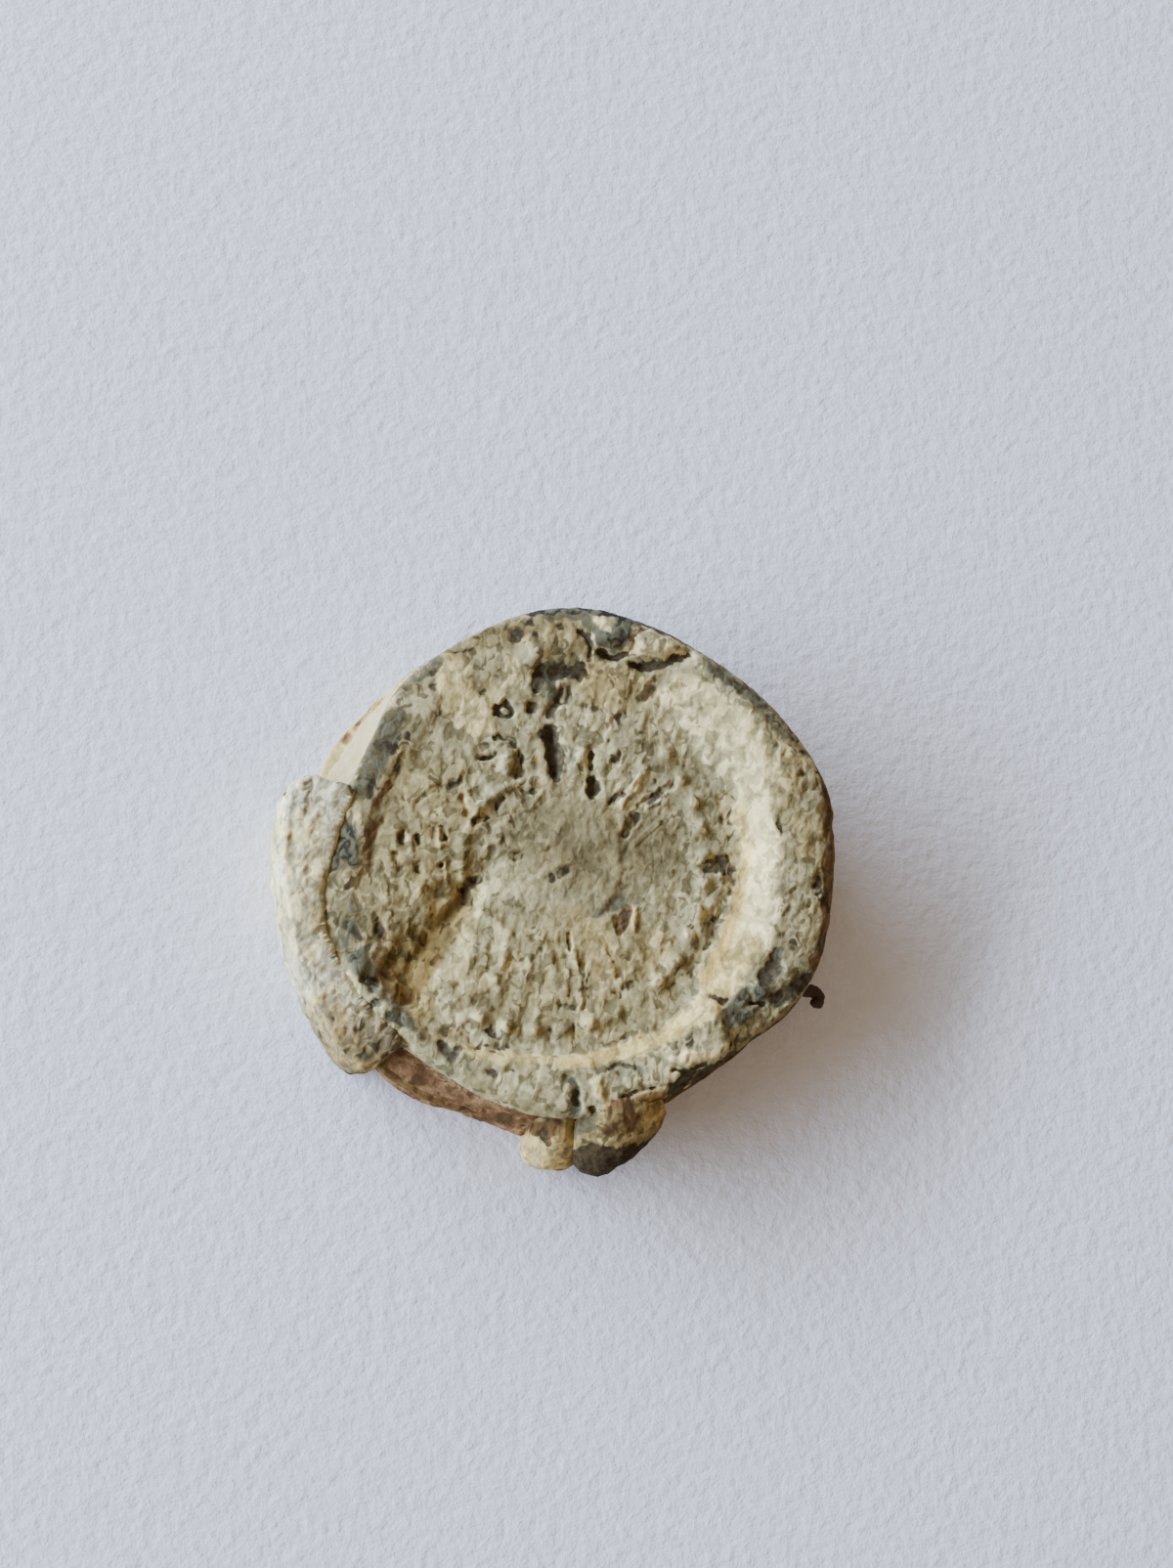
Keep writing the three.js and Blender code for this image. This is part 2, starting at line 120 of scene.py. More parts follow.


# Marks on the struck face, in millimetres seen from above. Each has a depth, the stains it leaves and
# a path of x, y and half width. A negative depth stands out. Where noted, a mark's stains also paint
# shade or a highlight.
FACE_MARKS = [
    # Soft differences of tone over the face: a calm grey middle, a warm lower half and left side
    (0.0, {"shade": 0.62}, [(-2.2, 1.2, 1.5), (0.4, 0.4, 1.7), (2.6, 0.9, 1.3)]),
    (0.0, {"shade": 0.22}, [(-3.6, 4.2, 0.9), (-2.4, 3.2, 0.9), (-1.2, 2.9, 0.6)]),
    (0.0, {"shade": 0.24}, [(2.6, 4.4, 0.7), (3.7, 3.4, 0.8), (4.7, 2.0, 0.6), (4.8, 0.4, 0.5)]),
    (0.0, {"warm": 0.5}, [(-0.6, -2.9, 1.1), (0.8, -3.2, 1.1), (2.6, -3.2, 0.9)]),
    (0.0, {"warm": 0.3, "shade": 0.06}, [(-2.8, -4.6, 1.3), (0.0, -5.4, 1.2), (2.6, -4.8, 1.0)]),
    (0.0, {"warm": 0.6, "shade": 0.1}, [(0.5, 6.5, 0.8), (1.9, 6.4, 0.7)]),
    # The next two marks warm and darken the left side of the floor a little; this is partly painted shade,
    # the warm penumbra of the low light
    (
        0.0,
        {"shade": 0.08, "warm": 0.4},
        [(-6.6, 3.4, 0.8), (-6.6, 1.4, 1.1), (-6.8, -0.8, 1.3), (-6.4, -2.6, 1.2)],
    ),
    (0.0, {"warm": 0.35, "shade": 0.1}, [(-5.0, 2.8, 0.9), (-4.9, 0.6, 1.1), (-5.2, -1.2, 1.1)]),
    (0.0, {"shade": 0.2, "bare": 0.25}, [(-9.4, -1.3, 0.5), (-9.3, -2.6, 0.5), (-8.7, -3.7, 0.5)]),
    (0.0, {"shade": 0.12, "bare": 0.35}, [(-8.6, -1.8, 0.4), (-8.5, -3.0, 0.4), (-8.0, -4.2, 0.4)]),
    (0.0, {"shade": 0.12, "bare": 0.32}, [(-8.0, -4.2, 0.4), (-7.2, -5.3, 0.6), (-6.5, -5.9, 0.4)]),
    (0.0, {"shade": 0.3, "warm": 0.7}, [(-6.2, -3.6, 0.7), (-6.3, -4.8, 0.6), (-5.8, -5.6, 0.4)]),
    (0.0, {"shade": 0.35, "bare": 0.12}, [(-6.6, -6.2, 0.4), (-5.3, -6.9, 0.4)]),
    (
        0.0,
        {"shade": 0.45, "warm": 0.4},
        [(-5.0, 7.6, 0.5), (-3.4, 8.3, 0.6), (-1.6, 8.5, 0.7), (-0.4, 8.4, 0.5)],
    ),
    (
        0.0,
        {"shade": 0.25, "bare": 0.46},
        [(4.5, 7.5, 0.35), (5.9, 6.6, 0.5), (7.1, 5.4, 0.45), (8.1, 4.3, 0.35)],
    ),
    (0.0, {"shade": 0.4, "bare": 0.4}, [(-6.8, 6.1, 0.4), (-6.2, 6.8, 0.4), (-5.2, 7.5, 0.4)]),
    (0.0, {"shade": 0.3, "bare": 0.25}, [(8.0, 0.4, 0.6), (7.8, -1.2, 0.8), (7.7, -2.8, 0.7)]),
    (0.0, {"warm": 0.4, "bloom": 0.35}, [(7.8, 4.3, 0.5), (7.7, 2.8, 0.5)]),
    (0.0, {"warm": 0.4, "bloom": 0.45}, [(7.5, 2.0, 0.35), (8.2, 1.4, 0.4), (8.2, 0.5, 0.35)]),
    (0.0, {"bare": 0.25, "bloom": 0.2}, [(6.9, 0.4, 0.4), (7.0, -1.2, 0.45)]),
    # Wedge-shaped dent above the rivet, and the shorter dents beside it
    (0.0, {"soil": 1.0}, [(-1.3, 4.72, 0.42), (-1.17, 4.2, 0.38), (-1.06, 3.6, 0.32), (-1.03, 3.1, 0.25)]),
    (0.03, {"soil": 0.7}, [(0.25, 4.1, 0.13), (0.2, 3.6, 0.12)]),
    (0.0, {"bare": 0.35}, [(-0.6, 4.0, 0.3), (-0.5, 3.2, 0.3)]),
    (0.16, {"soil": 0.95}, [(0.25, 3.05, 0.14), (0.4, 2.8, 0.26), (0.3, 2.5, 0.2)]),
    (0.12, {"soil": 0.85}, circle_path(-2.97, 5.5, 0.27, 0.14)),
    (0.14, {"soil": 0.9}, [(-1.98, 5.65, 0.27)]),
    (0.06, {"soil": 0.4, "rust": 0.3}, [(-3.85, 6.08, 0.12), (-3.55, 5.95, 0.12)]),
    (0.06, {"soil": 0.4}, [(0.1, 5.75, 0.22), (0.5, 5.62, 0.24)]),
    (0.05, {"soil": 0.4}, [(1.2, 5.3, 0.2), (1.6, 5.5, 0.2)]),
    (0.04, {"soil": 0.4, "bare": 0.2}, [(-2.3, 4.95, 0.1), (-2.0, 5.02, 0.1)]),
    (0.08, {"soil": 0.62}, [(-3.25, 4.45, 0.14), (-2.7, 4.45, 0.16), (-2.6, 4.1, 0.1)]),
    (0.07, {"soil": 0.52, "rust": 0.2}, [(-2.42, 4.0, 0.1), (-2.35, 3.4, 0.16), (-2.5, 3.0, 0.1)]),
    (0.06, {"soil": 0.45}, [(-3.3, 4.0, 0.12), (-3.25, 3.4, 0.14)]),
    (-0.1, {"bloom": 0.35}, [(-2.95, 4.05, 0.14), (-2.82, 3.6, 0.2), (-2.9, 3.2, 0.14)]),
    (0.08, {"soil": 0.7}, [(-3.95, 3.78, 0.1), (-3.55, 3.72, 0.14)]),
    (0.08, {"soil": 0.7}, [(-3.25, 2.0, 0.18), (-3.05, 2.25, 0.12)]),
    (0.08, {"soil": 0.5, "rust": 0.2}, [(-2.2, 2.5, 0.14), (-1.85, 2.6, 0.16)]),
    (
        0.08,
        {"soil": 0.5, "warm": 0.4},
        [(-4.5, 2.2, 0.12), (-4.45, 1.7, 0.13), (-4.0, 1.35, 0.14), (-3.6, 1.6, 0.14)],
    ),
    (-0.08, {"bloom": 0.35}, [(-4.2, 2.0, 0.18), (-4.0, 1.7, 0.18), (-3.8, 1.9, 0.12)]),
    (0.06, {"soil": 0.45, "rust": 0.2}, [(-6.2, 2.0, 0.1), (-5.4, 2.5, 0.14), (-4.6, 2.8, 0.12)]),
    (0.06, {"soil": 0.52}, [(1.15, 3.75, 0.2), (1.35, 4.0, 0.16)]),
    (0.06, {"soil": 0.52}, [(1.0, 2.2, 0.16), (1.4, 2.6, 0.18)]),
    (-0.06, {"bloom": 0.5}, [(1.35, 2.2, 0.14), (1.9, 2.9, 0.16), (2.3, 3.6, 0.14)]),
    (0.08, {"soil": 0.5}, [(2.2, 2.1, 0.18), (2.6, 2.5, 0.18), (3.3, 3.0, 0.12)]),
    (0.06, {"soil": 0.55}, [(1.9, 1.8, 0.18), (1.7, 1.55, 0.2), (1.6, 1.1, 0.16)]),
    (-0.05, {"bloom": 0.4}, [(1.4, 1.7, 0.16), (1.4, 1.3, 0.1)]),
    (0.04, {"soil": 0.5, "rust": 0.2}, [(-1.25, -0.75, 0.24), (-0.85, -0.35, 0.28)]),
    (0.0, {"shade": 0.3}, [(-0.8, -0.3, 0.3), (0.0, 0.1, 0.35), (1.0, 0.5, 0.3)]),
    (0.06, {"soil": 0.45}, [(-2.5, 0.3, 0.1), (-2.45, 0.05, 0.12)]),
    (0.05, {"soil": 0.45}, [(-1.3, 0.35, 0.14)]),
    (
        0.06,
        {"rust": 0.7, "soil": 0.5, "warm": 0.4},
        [(1.6, -1.75, 0.22), (1.42, -2.1, 0.26), (1.3, -2.5, 0.16)],
    ),
    (-0.08, {"bloom": 0.75, "warm": 0.5}, [(1.85, -1.85, 0.14), (1.85, -2.4, 0.14)]),
    (0.03, {"bare": 0.55}, [(0.4, -1.9, 0.25), (1.0, -1.6, 0.28), (1.6, -1.35, 0.22)]),
    (0.06, {"soil": 0.58, "rust": 0.3}, [(4.6, -0.05, 0.2), (5.1, 0.05, 0.28), (5.4, 0.3, 0.2)]),
    (
        0.06,
        {"soil": 0.5, "warm": 0.4},
        [(5.6, 0.4, 0.16), (5.55, -0.6, 0.28), (5.2, -1.3, 0.24), (4.9, -2.0, 0.16)],
    ),
    (0.04, {"soil": 0.35, "warm": 0.4}, [(5.3, 2.6, 0.3), (5.5, 1.2, 0.2)]),
    (0.04, {"soil": 0.35, "warm": 0.4}, [(4.9, -2.2, 0.2), (4.4, -3.3, 0.2), (3.5, -4.4, 0.2)]),
    # Dark hollow under the rim at the top, with the brown streak that runs down from it
    (0.02, {"soil": 0.62, "bare": 0.6}, [(-1.65, 6.9, 0.32), (-1.2, 7.0, 0.36), (-0.5, 7.05, 0.26)]),
    (0.06, {"soil": 0.85, "bare": 0.3}, [(-1.72, 6.8, 0.24), (-1.85, 6.4, 0.18)]),
    (0.04, {"soil": 0.8, "rust": 0.3}, [(-0.15, 7.3, 0.2), (-0.1, 6.9, 0.2)]),
    (
        0.03,
        {"soil": 0.55, "rust": 0.4},
        [(-0.3, 6.9, 0.26), (-0.6, 6.4, 0.28), (-0.95, 5.9, 0.26), (-1.3, 5.4, 0.24)],
    ),
    (0.0, {"bare": 0.6, "shade": 0.3}, [(-1.4, 6.6, 0.36), (-1.2, 6.2, 0.34)]),
    (0.03, {"rust": 0.55, "soil": 0.45, "warm": 0.4}, [(2.9, 7.1, 0.2), (2.6, 6.7, 0.26), (2.2, 6.3, 0.26)]),
    (0.0, {"bloom": 0.45}, [(0.35, 7.5, 0.12), (0.3, 7.0, 0.14)]),
    (0.0, {"bloom": 0.6}, [(-2.8, 7.5, 0.3), (-2.6, 6.7, 0.4), (-2.5, 6.1, 0.3)]),
    (
        0.0,
        {"bloom": 0.85, "warm": 0.2},
        [(-5.0, 6.9, 0.7), (-4.6, 5.9, 0.9), (-3.9, 5.1, 0.7), (-3.4, 6.2, 0.5)],
    ),
    (0.0, {"bloom": 0.6}, [(-1.72, 3.9, 0.14), (-1.6, 3.0, 0.2)]),
    (0.0, {"bloom": 0.5}, [(2.4, 5.0, 0.18), (2.55, 4.6, 0.16)]),
    (0.0, {"bloom": 0.45}, [(0.5, -3.6, 0.22), (0.5, -4.6, 0.18)]),
    # Torn lip of the rim; the black in the gap under it is painted shade
    (0.08, {"soil": 1.0}, [(0.5, 7.78, 0.1), (0.8, 7.62, 0.14), (1.2, 7.6, 0.14), (1.5, 7.7, 0.1)]),
    (
        0.08,
        {"soil": 1.0},
        [(1.7, 7.4, 0.12), (2.1, 7.26, 0.16), (2.6, 7.32, 0.16), (3.2, 7.56, 0.13), (3.85, 7.74, 0.1)],
    ),
    (0.06, {"soil": 0.95}, [(-0.4, 8.38, 0.1), (0.02, 8.25, 0.14), (0.12, 7.95, 0.1), (0.12, 7.6, 0.08)]),
    (
        0.02,
        {"bare": 0.75, "shade": 0.65},
        [(0.5, 8.2, 0.3), (1.0, 8.1, 0.35), (1.3, 8.5, 0.45), (1.4, 8.9, 0.35)],
    ),
    (0.0, {"bare": 0.6, "shade": 0.3}, [(-1.4, 9.0, 0.3), (-0.3, 9.1, 0.35), (0.1, 8.6, 0.3)]),
    (-0.03, {"bloom": 0.45}, [(1.95, 7.85, 0.22), (2.6, 7.75, 0.2), (3.4, 7.95, 0.2)]),
    (0.04, {"rust": 0.7}, [(1.52, 7.8, 0.08), (1.65, 8.2, 0.07), (1.95, 8.7, 0.06)]),
    (0.0, {"rust": 0.5}, [(0.15, 7.5, 0.12), (0.05, 7.9, 0.1)]),
    (-0.05, {"bloom": 0.85}, [(0.4, 8.8, 0.28)]),
    (0.04, {"soil": 0.5, "rust": 0.3}, [(-1.05, 8.52, 0.14), (-0.75, 8.6, 0.14)]),
    (0.03, {"rust": 0.6, "soil": 0.5}, [(-2.7, 8.3, 0.34), (-2.2, 8.5, 0.36), (-1.9, 8.2, 0.2)]),
    (-0.03, {"bloom": 0.8}, [(-1.65, 8.1, 0.1), (-1.5, 8.5, 0.12)]),
    (
        0.0,
        {"bare": 0.9, "shade": 0.6},
        [(-2.2, 9.1, 0.14), (0.0, 9.36, 0.2), (1.4, 9.1, 0.22), (2.8, 8.7, 0.16), (4.0, 8.1, 0.14)],
    ),
    # Cream slope up to the rim on the right, and the warm foot of it. The slope faces the light, and its
    # cream bloom is partly a painted highlight
    (
        0.0,
        {"bloom": 0.52},
        [(2.9, 6.7, 0.5), (3.9, 6.2, 0.9), (4.9, 5.3, 1.2), (5.9, 4.1, 1.1), (6.5, 3.0, 0.9)],
    ),
    (0.0, {"bloom": 0.85}, [(4.6, 6.1, 0.35), (5.5, 5.2, 0.6), (6.2, 4.1, 0.7), (6.6, 3.0, 0.55)]),
    (
        0.0,
        {"bloom": 0.55},
        [(6.5, 3.0, 0.8), (6.6, 1.4, 0.7), (6.6, -0.4, 0.8), (6.3, -1.9, 0.9), (6.1, -3.0, 0.9)],
    ),
    (
        0.0,
        {"bloom": 0.9},
        [(6.5, 3.0, 0.5), (6.6, 1.4, 0.4), (6.5, -0.4, 0.42), (6.3, -1.9, 0.5), (6.0, -3.0, 0.6)],
    ),
    (
        0.0,
        {"bloom": 0.85, "warm": 0.6, "shade": 0.12},
        [(6.0, -3.0, 0.6), (5.3, -4.1, 0.6), (4.5, -5.2, 0.5), (3.2, -6.1, 0.36)],
    ),
    (
        0.0,
        {"bloom": 0.9, "warm": 0.75},
        [(5.75, 2.2, 0.22), (6.1, 1.2, 0.26), (6.15, 0.2, 0.26), (5.9, -1.0, 0.26)],
    ),
    (
        0.0,
        {"bloom": 0.9, "warm": 1.0, "shade": 0.1},
        [(5.9, -1.0, 0.26), (5.6, -2.0, 0.24), (5.1, -3.2, 0.26), (4.5, -4.2, 0.26)],
    ),
    (
        0.0,
        {"bloom": 0.9, "warm": 0.85},
        [(3.2, -6.15, 0.36), (1.8, -6.75, 0.3), (0.5, -7.1, 0.28), (-0.6, -7.3, 0.26)],
    ),
    (
        0.0,
        {"bloom": 0.65, "warm": 0.6},
        [(-0.6, -7.3, 0.24), (-2.0, -7.15, 0.24), (-3.2, -7.2, 0.22), (-4.4, -6.9, 0.2)],
    ),
    # Mottled rim outside the slope
    (0.03, {"soil": 0.38, "bare": 0.25}, [(4.9, 7.1, 0.24), (5.9, 6.5, 0.28), (6.6, 5.9, 0.24)]),
    (0.03, {"soil": 0.44}, [(6.9, 5.3, 0.2), (7.4, 5.0, 0.22), (7.9, 4.5, 0.2), (8.3, 4.15, 0.18)]),
    (0.04, {"soil": 0.4}, [(8.1, 3.4, 0.12), (7.9, 3.0, 0.12)]),
    (0.04, {"soil": 0.4}, [(7.25, 2.0, 0.1), (7.15, 1.4, 0.1), (7.35, 1.1, 0.1)]),
    (0.04, {"soil": 0.45}, [(7.6, -1.5, 0.12), (7.4, -1.8, 0.12)]),
    (0.05, {"soil": 0.6}, [(8.65, -0.5, 0.14), (8.6, -1.0, 0.16)]),
    (0.05, {"soil": 0.5}, [(7.2, -2.6, 0.14), (7.8, -2.8, 0.14)]),
    # Dark brown outer wall on the right: rust-brown earth, and partly painted shade on the side that faces
    # away from the light
    (0.04, {"rust": 0.8, "soil": 0.25}, [(8.85, 4.1, 0.16), (9.15, 3.0, 0.26), (9.25, 1.6, 0.36)]),
    (0.04, {"rust": 0.8, "soil": 0.25}, [(9.25, 1.6, 0.36), (9.25, 0.2, 0.42), (9.15, -1.2, 0.42)]),
    (0.04, {"rust": 0.8, "soil": 0.3}, [(9.15, -1.2, 0.42), (9.05, -2.4, 0.4), (8.8, -3.6, 0.42)]),
    # Broken step at the lower right: dark hollows between lumps of bare lead
    (0.0, {"shade": 0.3, "bare": 0.45}, [(8.2, -3.9, 0.5), (7.0, -4.4, 0.6), (5.8, -5.3, 0.6)]),
    (0.06, {"soil": 0.7, "bare": 0.8}, [(7.15, -3.2, 0.2), (7.1, -3.7, 0.26), (6.7, -4.1, 0.34)]),
    (0.06, {"soil": 0.7, "bare": 0.8}, [(8.3, -4.2, 0.3), (7.8, -4.6, 0.34), (7.2, -4.9, 0.3)]),
    (0.1, {"soil": 0.85}, [(6.2, -5.0, 0.1), (6.6, -5.1, 0.1)]),
    (-0.1, {"bare": 0.6, "bloom": 0.2}, [(6.5, -4.6, 0.34)]),
    (-0.1, {"bare": 0.45, "bloom": 0.3}, [(5.8, -4.85, 0.3)]),
    (-0.08, {"bloom": 0.35, "warm": 0.3}, [(7.6, -4.0, 0.28)]),
    (-0.06, {"bare": 0.5, "shade": 0.2}, [(5.3, -5.6, 0.4), (6.0, -5.6, 0.3)]),
    (0.06, {"soil": 0.5}, [(5.05, -5.4, 0.2), (5.35, -6.1, 0.24), (5.5, -6.8, 0.3)]),
    (0.1, {"soil": 0.6}, [(4.75, -4.9, 0.16), (5.2, -5.05, 0.16)]),
    # Dark brown wall below the step: rust-brown earth with painted shade where the seal meets the paper
    (
        0.05,
        {"rust": 0.85, "soil": 0.4, "shade": 0.3},
        [(8.9, -4.8, 0.4), (7.6, -5.9, 0.4), (6.3, -6.8, 0.45)],
    ),
    (-0.06, {"bloom": 0.7}, [(4.9, -6.1, 0.22), (5.0, -6.6, 0.24), (4.4, -6.95, 0.24), (3.6, -7.2, 0.2)]),
    (0.04, {"soil": 0.35}, [(3.4, -6.7, 0.25), (4.1, -6.3, 0.25)]),
    (-0.05, {"bloom": 0.85, "warm": 0.3}, [(3.1, -7.15, 0.16), (3.5, -7.1, 0.14)]),
    # Dark cut edge at the bottom, partly painted shade on the leaf's side that faces away from the light, and
    # the earth that runs down to the stub
    (
        0.1,
        {"soil": 0.85, "rust": 0.2},
        [(5.7, -7.1, 0.3), (4.9, -7.6, 0.3), (3.7, -7.9, 0.4), (3.3, -8.3, 0.36)],
    ),
    (0.08, {"soil": 0.8}, [(3.15, -7.5, 0.1), (3.7, -7.55, 0.1), (4.3, -7.3, 0.08)]),
    (0.0, {"rust": 0.6, "warm": 0.8, "bloom": 0.5}, [(2.7, -8.5, 0.34), (2.0, -8.8, 0.4), (1.2, -9.2, 0.34)]),
    (0.1, {"soil": 0.75, "rust": 0.3}, [(2.4, -8.15, 0.1), (1.6, -8.35, 0.14), (1.1, -8.75, 0.12)]),
    (0.0, {"bare": 0.3}, [(-0.7, -7.8, 0.3), (0.6, -7.6, 0.3), (1.6, -7.6, 0.35), (2.5, -7.8, 0.35)]),
    (0.05, {"bare": 0.6}, [(-0.75, -7.8, 0.14), (-0.5, -8.3, 0.2), (-0.4, -8.9, 0.24), (-0.5, -9.4, 0.2)]),
    (0.12, {"bare": 0.9, "soil": 0.8}, [(-0.4, -8.35, 0.12), (-0.33, -8.75, 0.15)]),
    (0.1, {"soil": 0.8, "rust": 0.2}, [(0.15, -9.0, 0.14), (0.35, -9.3, 0.18)]),
    (-0.08, {"bloom": 0.75, "warm": 0.3}, [(0.35, -7.95, 0.2), (0.45, -8.45, 0.16)]),
    (-0.06, {"bloom": 0.6, "warm": 0.4}, [(0.7, -8.7, 0.16), (0.5, -8.75, 0.14)]),
    (0.06, {"soil": 0.5, "bare": 0.3}, [(0.7, -7.55, 0.1), (1.2, -7.4, 0.12), (1.9, -7.65, 0.12)]),
    (0.05, {"soil": 0.45}, [(-3.6, -7.7, 0.12), (-2.8, -7.65, 0.14)]),
    (0.0, {"warm": 0.3, "shade": 0.2}, [(-4.6, -7.75, 0.16), (-3.2, -8.5, 0.16), (-1.8, -9.2, 0.16)]),
    # Bare lead lumps along the left edge
    (0.04, {"bare": 1.0, "soil": 0.42}, [(-9.1, 1.6, 0.2), (-8.95, 1.15, 0.28), (-9.3, 0.6, 0.22)]),
    (-0.04, {"bare": 0.8}, [(-8.9, 0.9, 0.45), (-8.75, 0.3, 0.5), (-8.6, -0.1, 0.35)]),
    (0.04, {"bare": 1.0, "soil": 0.5}, [(-9.4, 0.3, 0.25), (-9.2, -0.35, 0.28)]),
    (-0.05, {"bloom": 0.75}, [(-8.3, 1.9, 0.14), (-8.35, 1.4, 0.12), (-8.3, 1.1, 0.1)]),
    (-0.05, {"bloom": 0.7}, [(-8.9, -0.75, 0.16), (-8.6, -0.65, 0.15)]),
    (
        0.0,
        {"bare": 0.6, "shade": 0.45},
        [(-6.9, 5.2, 0.3), (-7.3, 4.4, 0.5), (-7.8, 3.4, 0.5), (-8.1, 2.4, 0.45)],
    ),
    (0.08, {"soil": 0.8, "bare": 0.7}, [(-7.6, 4.05, 0.14), (-7.2, 3.85, 0.22)]),
    (0.06, {"soil": 0.7, "bare": 0.7}, [(-8.3, 2.7, 0.12), (-7.9, 2.55, 0.15), (-7.95, 2.1, 0.12)]),
    (-0.04, {"bloom": 0.35}, [(-7.75, 3.4, 0.2)]),
    (0.08, {"bare": 0.8, "soil": 0.45}, [(-7.15, -5.75, 0.22), (-6.8, -5.9, 0.22)]),
    (-0.06, {"bare": 0.35, "bloom": 0.45}, [(-6.4, -5.8, 0.3), (-6.1, -6.3, 0.26)]),
    (0.08, {"bare": 0.9, "soil": 0.6}, [(-5.3, -6.75, 0.22), (-4.9, -7.1, 0.28), (-4.55, -6.9, 0.12)]),
    (0.08, {"bare": 0.9, "soil": 0.45}, [(-8.05, -4.45, 0.2), (-7.7, -4.65, 0.26)]),
    (0.1, {"bare": 0.95, "soil": 0.6}, [(-7.65, -5.3, 0.2)]),
    (-0.06, {"bare": 0.35, "bloom": 0.35}, [(-7.3, -5.05, 0.26), (-6.8, -5.3, 0.24)]),
    (0.0, {"bare": 0.5, "soil": 0.2}, [(-8.5, -3.7, 0.2), (-8.1, -3.6, 0.25), (-7.9, -3.3, 0.2)]),
    (0.0, {"bare": 0.5, "soil": 0.3}, [(-8.6, -2.5, 0.2), (-8.3, -2.8, 0.2)]),
    (-0.05, {"bloom": 0.6}, [(-8.45, -4.2, 0.16), (-8.2, -4.9, 0.15), (-7.95, -5.5, 0.12)]),
    (0.03, {"soil": 0.45}, [(-4.75, 7.55, 0.12), (-4.3, 7.7, 0.16), (-4.0, 7.9, 0.1)]),
    (0.03, {"soil": 0.4, "bare": 0.3}, [(-6.1, 6.45, 0.14), (-5.6, 6.85, 0.16), (-5.4, 7.1, 0.12)]),
    # Brown line down the left side of the floor
    (0.0, {"bloom": 0.4}, [(-8.4, 0.0, 0.6), (-8.3, -1.2, 0.5), (-8.2, -2.4, 0.45)]),
    (0.0, {"rust": 0.6}, [(-6.75, 3.9, 0.1), (-6.95, 3.3, 0.18), (-7.1, 2.7, 0.16), (-7.5, 2.2, 0.12)]),
    (0.0, {"soil": 0.55}, [(-6.85, 3.6, 0.12), (-7.0, 3.1, 0.12)]),
    (
        0.0,
        {"rust": 0.52, "bloom": 0.3},
        [(-7.7, 1.9, 0.25), (-7.8, 0.8, 0.32), (-7.9, 0.0, 0.3), (-8.2, -0.9, 0.2)],
    ),
    (0.04, {"rust": 0.6, "soil": 0.5}, [(-8.45, -1.0, 0.14), (-8.7, -1.2, 0.14)]),
    (0.06, {"soil": 0.6, "rust": 0.25}, [(-7.0, 4.2, 0.12), (-6.5, 4.35, 0.14), (-6.25, 4.2, 0.12)]),
    (0.03, {"soil": 0.4, "rust": 0.5}, [(-5.25, 5.8, 0.12), (-5.45, 5.3, 0.14), (-5.6, 4.9, 0.1)]),
    (0.02, {"soil": 0.4, "rust": 0.2}, [(-5.7, 6.7, 0.2), (-5.6, 6.2, 0.16)]),
    (0.1, {"soil": 0.8, "rust": 0.2}, [(-6.1, 0.8, 0.12), (-6.1, 0.55, 0.14)]),
    (0.08, {"soil": 0.5, "rust": 0.4}, [(-6.75, 0.9, 0.14), (-6.7, 0.55, 0.12)]),
    (0.08, {"soil": 0.6, "rust": 0.3}, [(-5.25, 1.1, 0.1), (-5.15, 0.6, 0.12)]),
    (-0.05, {"bloom": 0.5}, [(-5.45, 0.9, 0.1), (-5.35, 0.4, 0.1)]),
    (-0.05, {"bloom": 0.5}, [(-6.45, 0.6, 0.12), (-6.4, 0.2, 0.12)]),
    (0.08, {"soil": 0.6, "rust": 0.3}, [(-6.2, -0.35, 0.14), (-6.0, -0.5, 0.12)]),
    (0.1, {"soil": 0.7, "rust": 0.2}, [(-5.35, -0.25, 0.14)]),
    (0.05, {"soil": 0.4, "rust": 0.5}, [(-6.95, 0.1, 0.14), (-6.8, -0.5, 0.14)]),
    (-0.05, {"bloom": 0.45}, [(-7.4, -0.9, 0.12), (-7.3, -1.6, 0.14)]),
    (0.06, {"soil": 0.4, "rust": 0.4}, [(-7.6, -2.2, 0.16), (-7.3, -2.9, 0.18)]),
    # Valley left of the rivet: brown earth with painted shade on its left bank, which faces away from the
    # light, and a bright right bank whose cream bloom is partly a painted highlight
    (0.04, {"soil": 0.5, "bare": 0.45}, [(-3.9, -0.7, 0.2), (-4.3, -0.9, 0.3), (-4.3, -1.5, 0.25)]),
    (
        0.14,
        {},
        [(-4.4, -1.2, 0.3), (-4.8, -2.1, 0.4), (-5.4, -3.0, 0.5), (-6.1, -4.0, 0.5), (-6.5, -4.9, 0.45)],
    ),
    (
        0.03,
        {"warm": 0.7, "shade": 0.95},
        [(-4.2, -0.9, 0.3), (-4.5, -1.8, 0.4), (-4.95, -2.6, 0.46), (-5.5, -3.3, 0.5)],
    ),
    (0.0, {"shade": 0.3, "warm": 0.4}, [(-4.9, -2.3, 0.5), (-6.0, -3.4, 0.7), (-7.1, -4.3, 0.5)]),
    (0.03, {"warm": 0.7, "shade": 0.95}, [(-5.5, -3.3, 0.5), (-5.95, -4.0, 0.46), (-6.35, -4.9, 0.42)]),
    (0.0, {"warm": 0.8, "shade": 0.35}, [(-6.4, -2.9, 0.4), (-6.9, -3.6, 0.45), (-7.1, -4.3, 0.4)]),
    (-0.12, {"rust": 0.5, "warm": 0.5}, [(-7.5, -3.7, 0.35), (-7.35, -4.2, 0.4), (-7.1, -4.7, 0.35)]),
    (-0.04, {"bloom": 0.75}, [(-3.7, -1.0, 0.14), (-4.0, -2.0, 0.2), (-4.4, -3.0, 0.3), (-4.8, -4.2, 0.4)]),
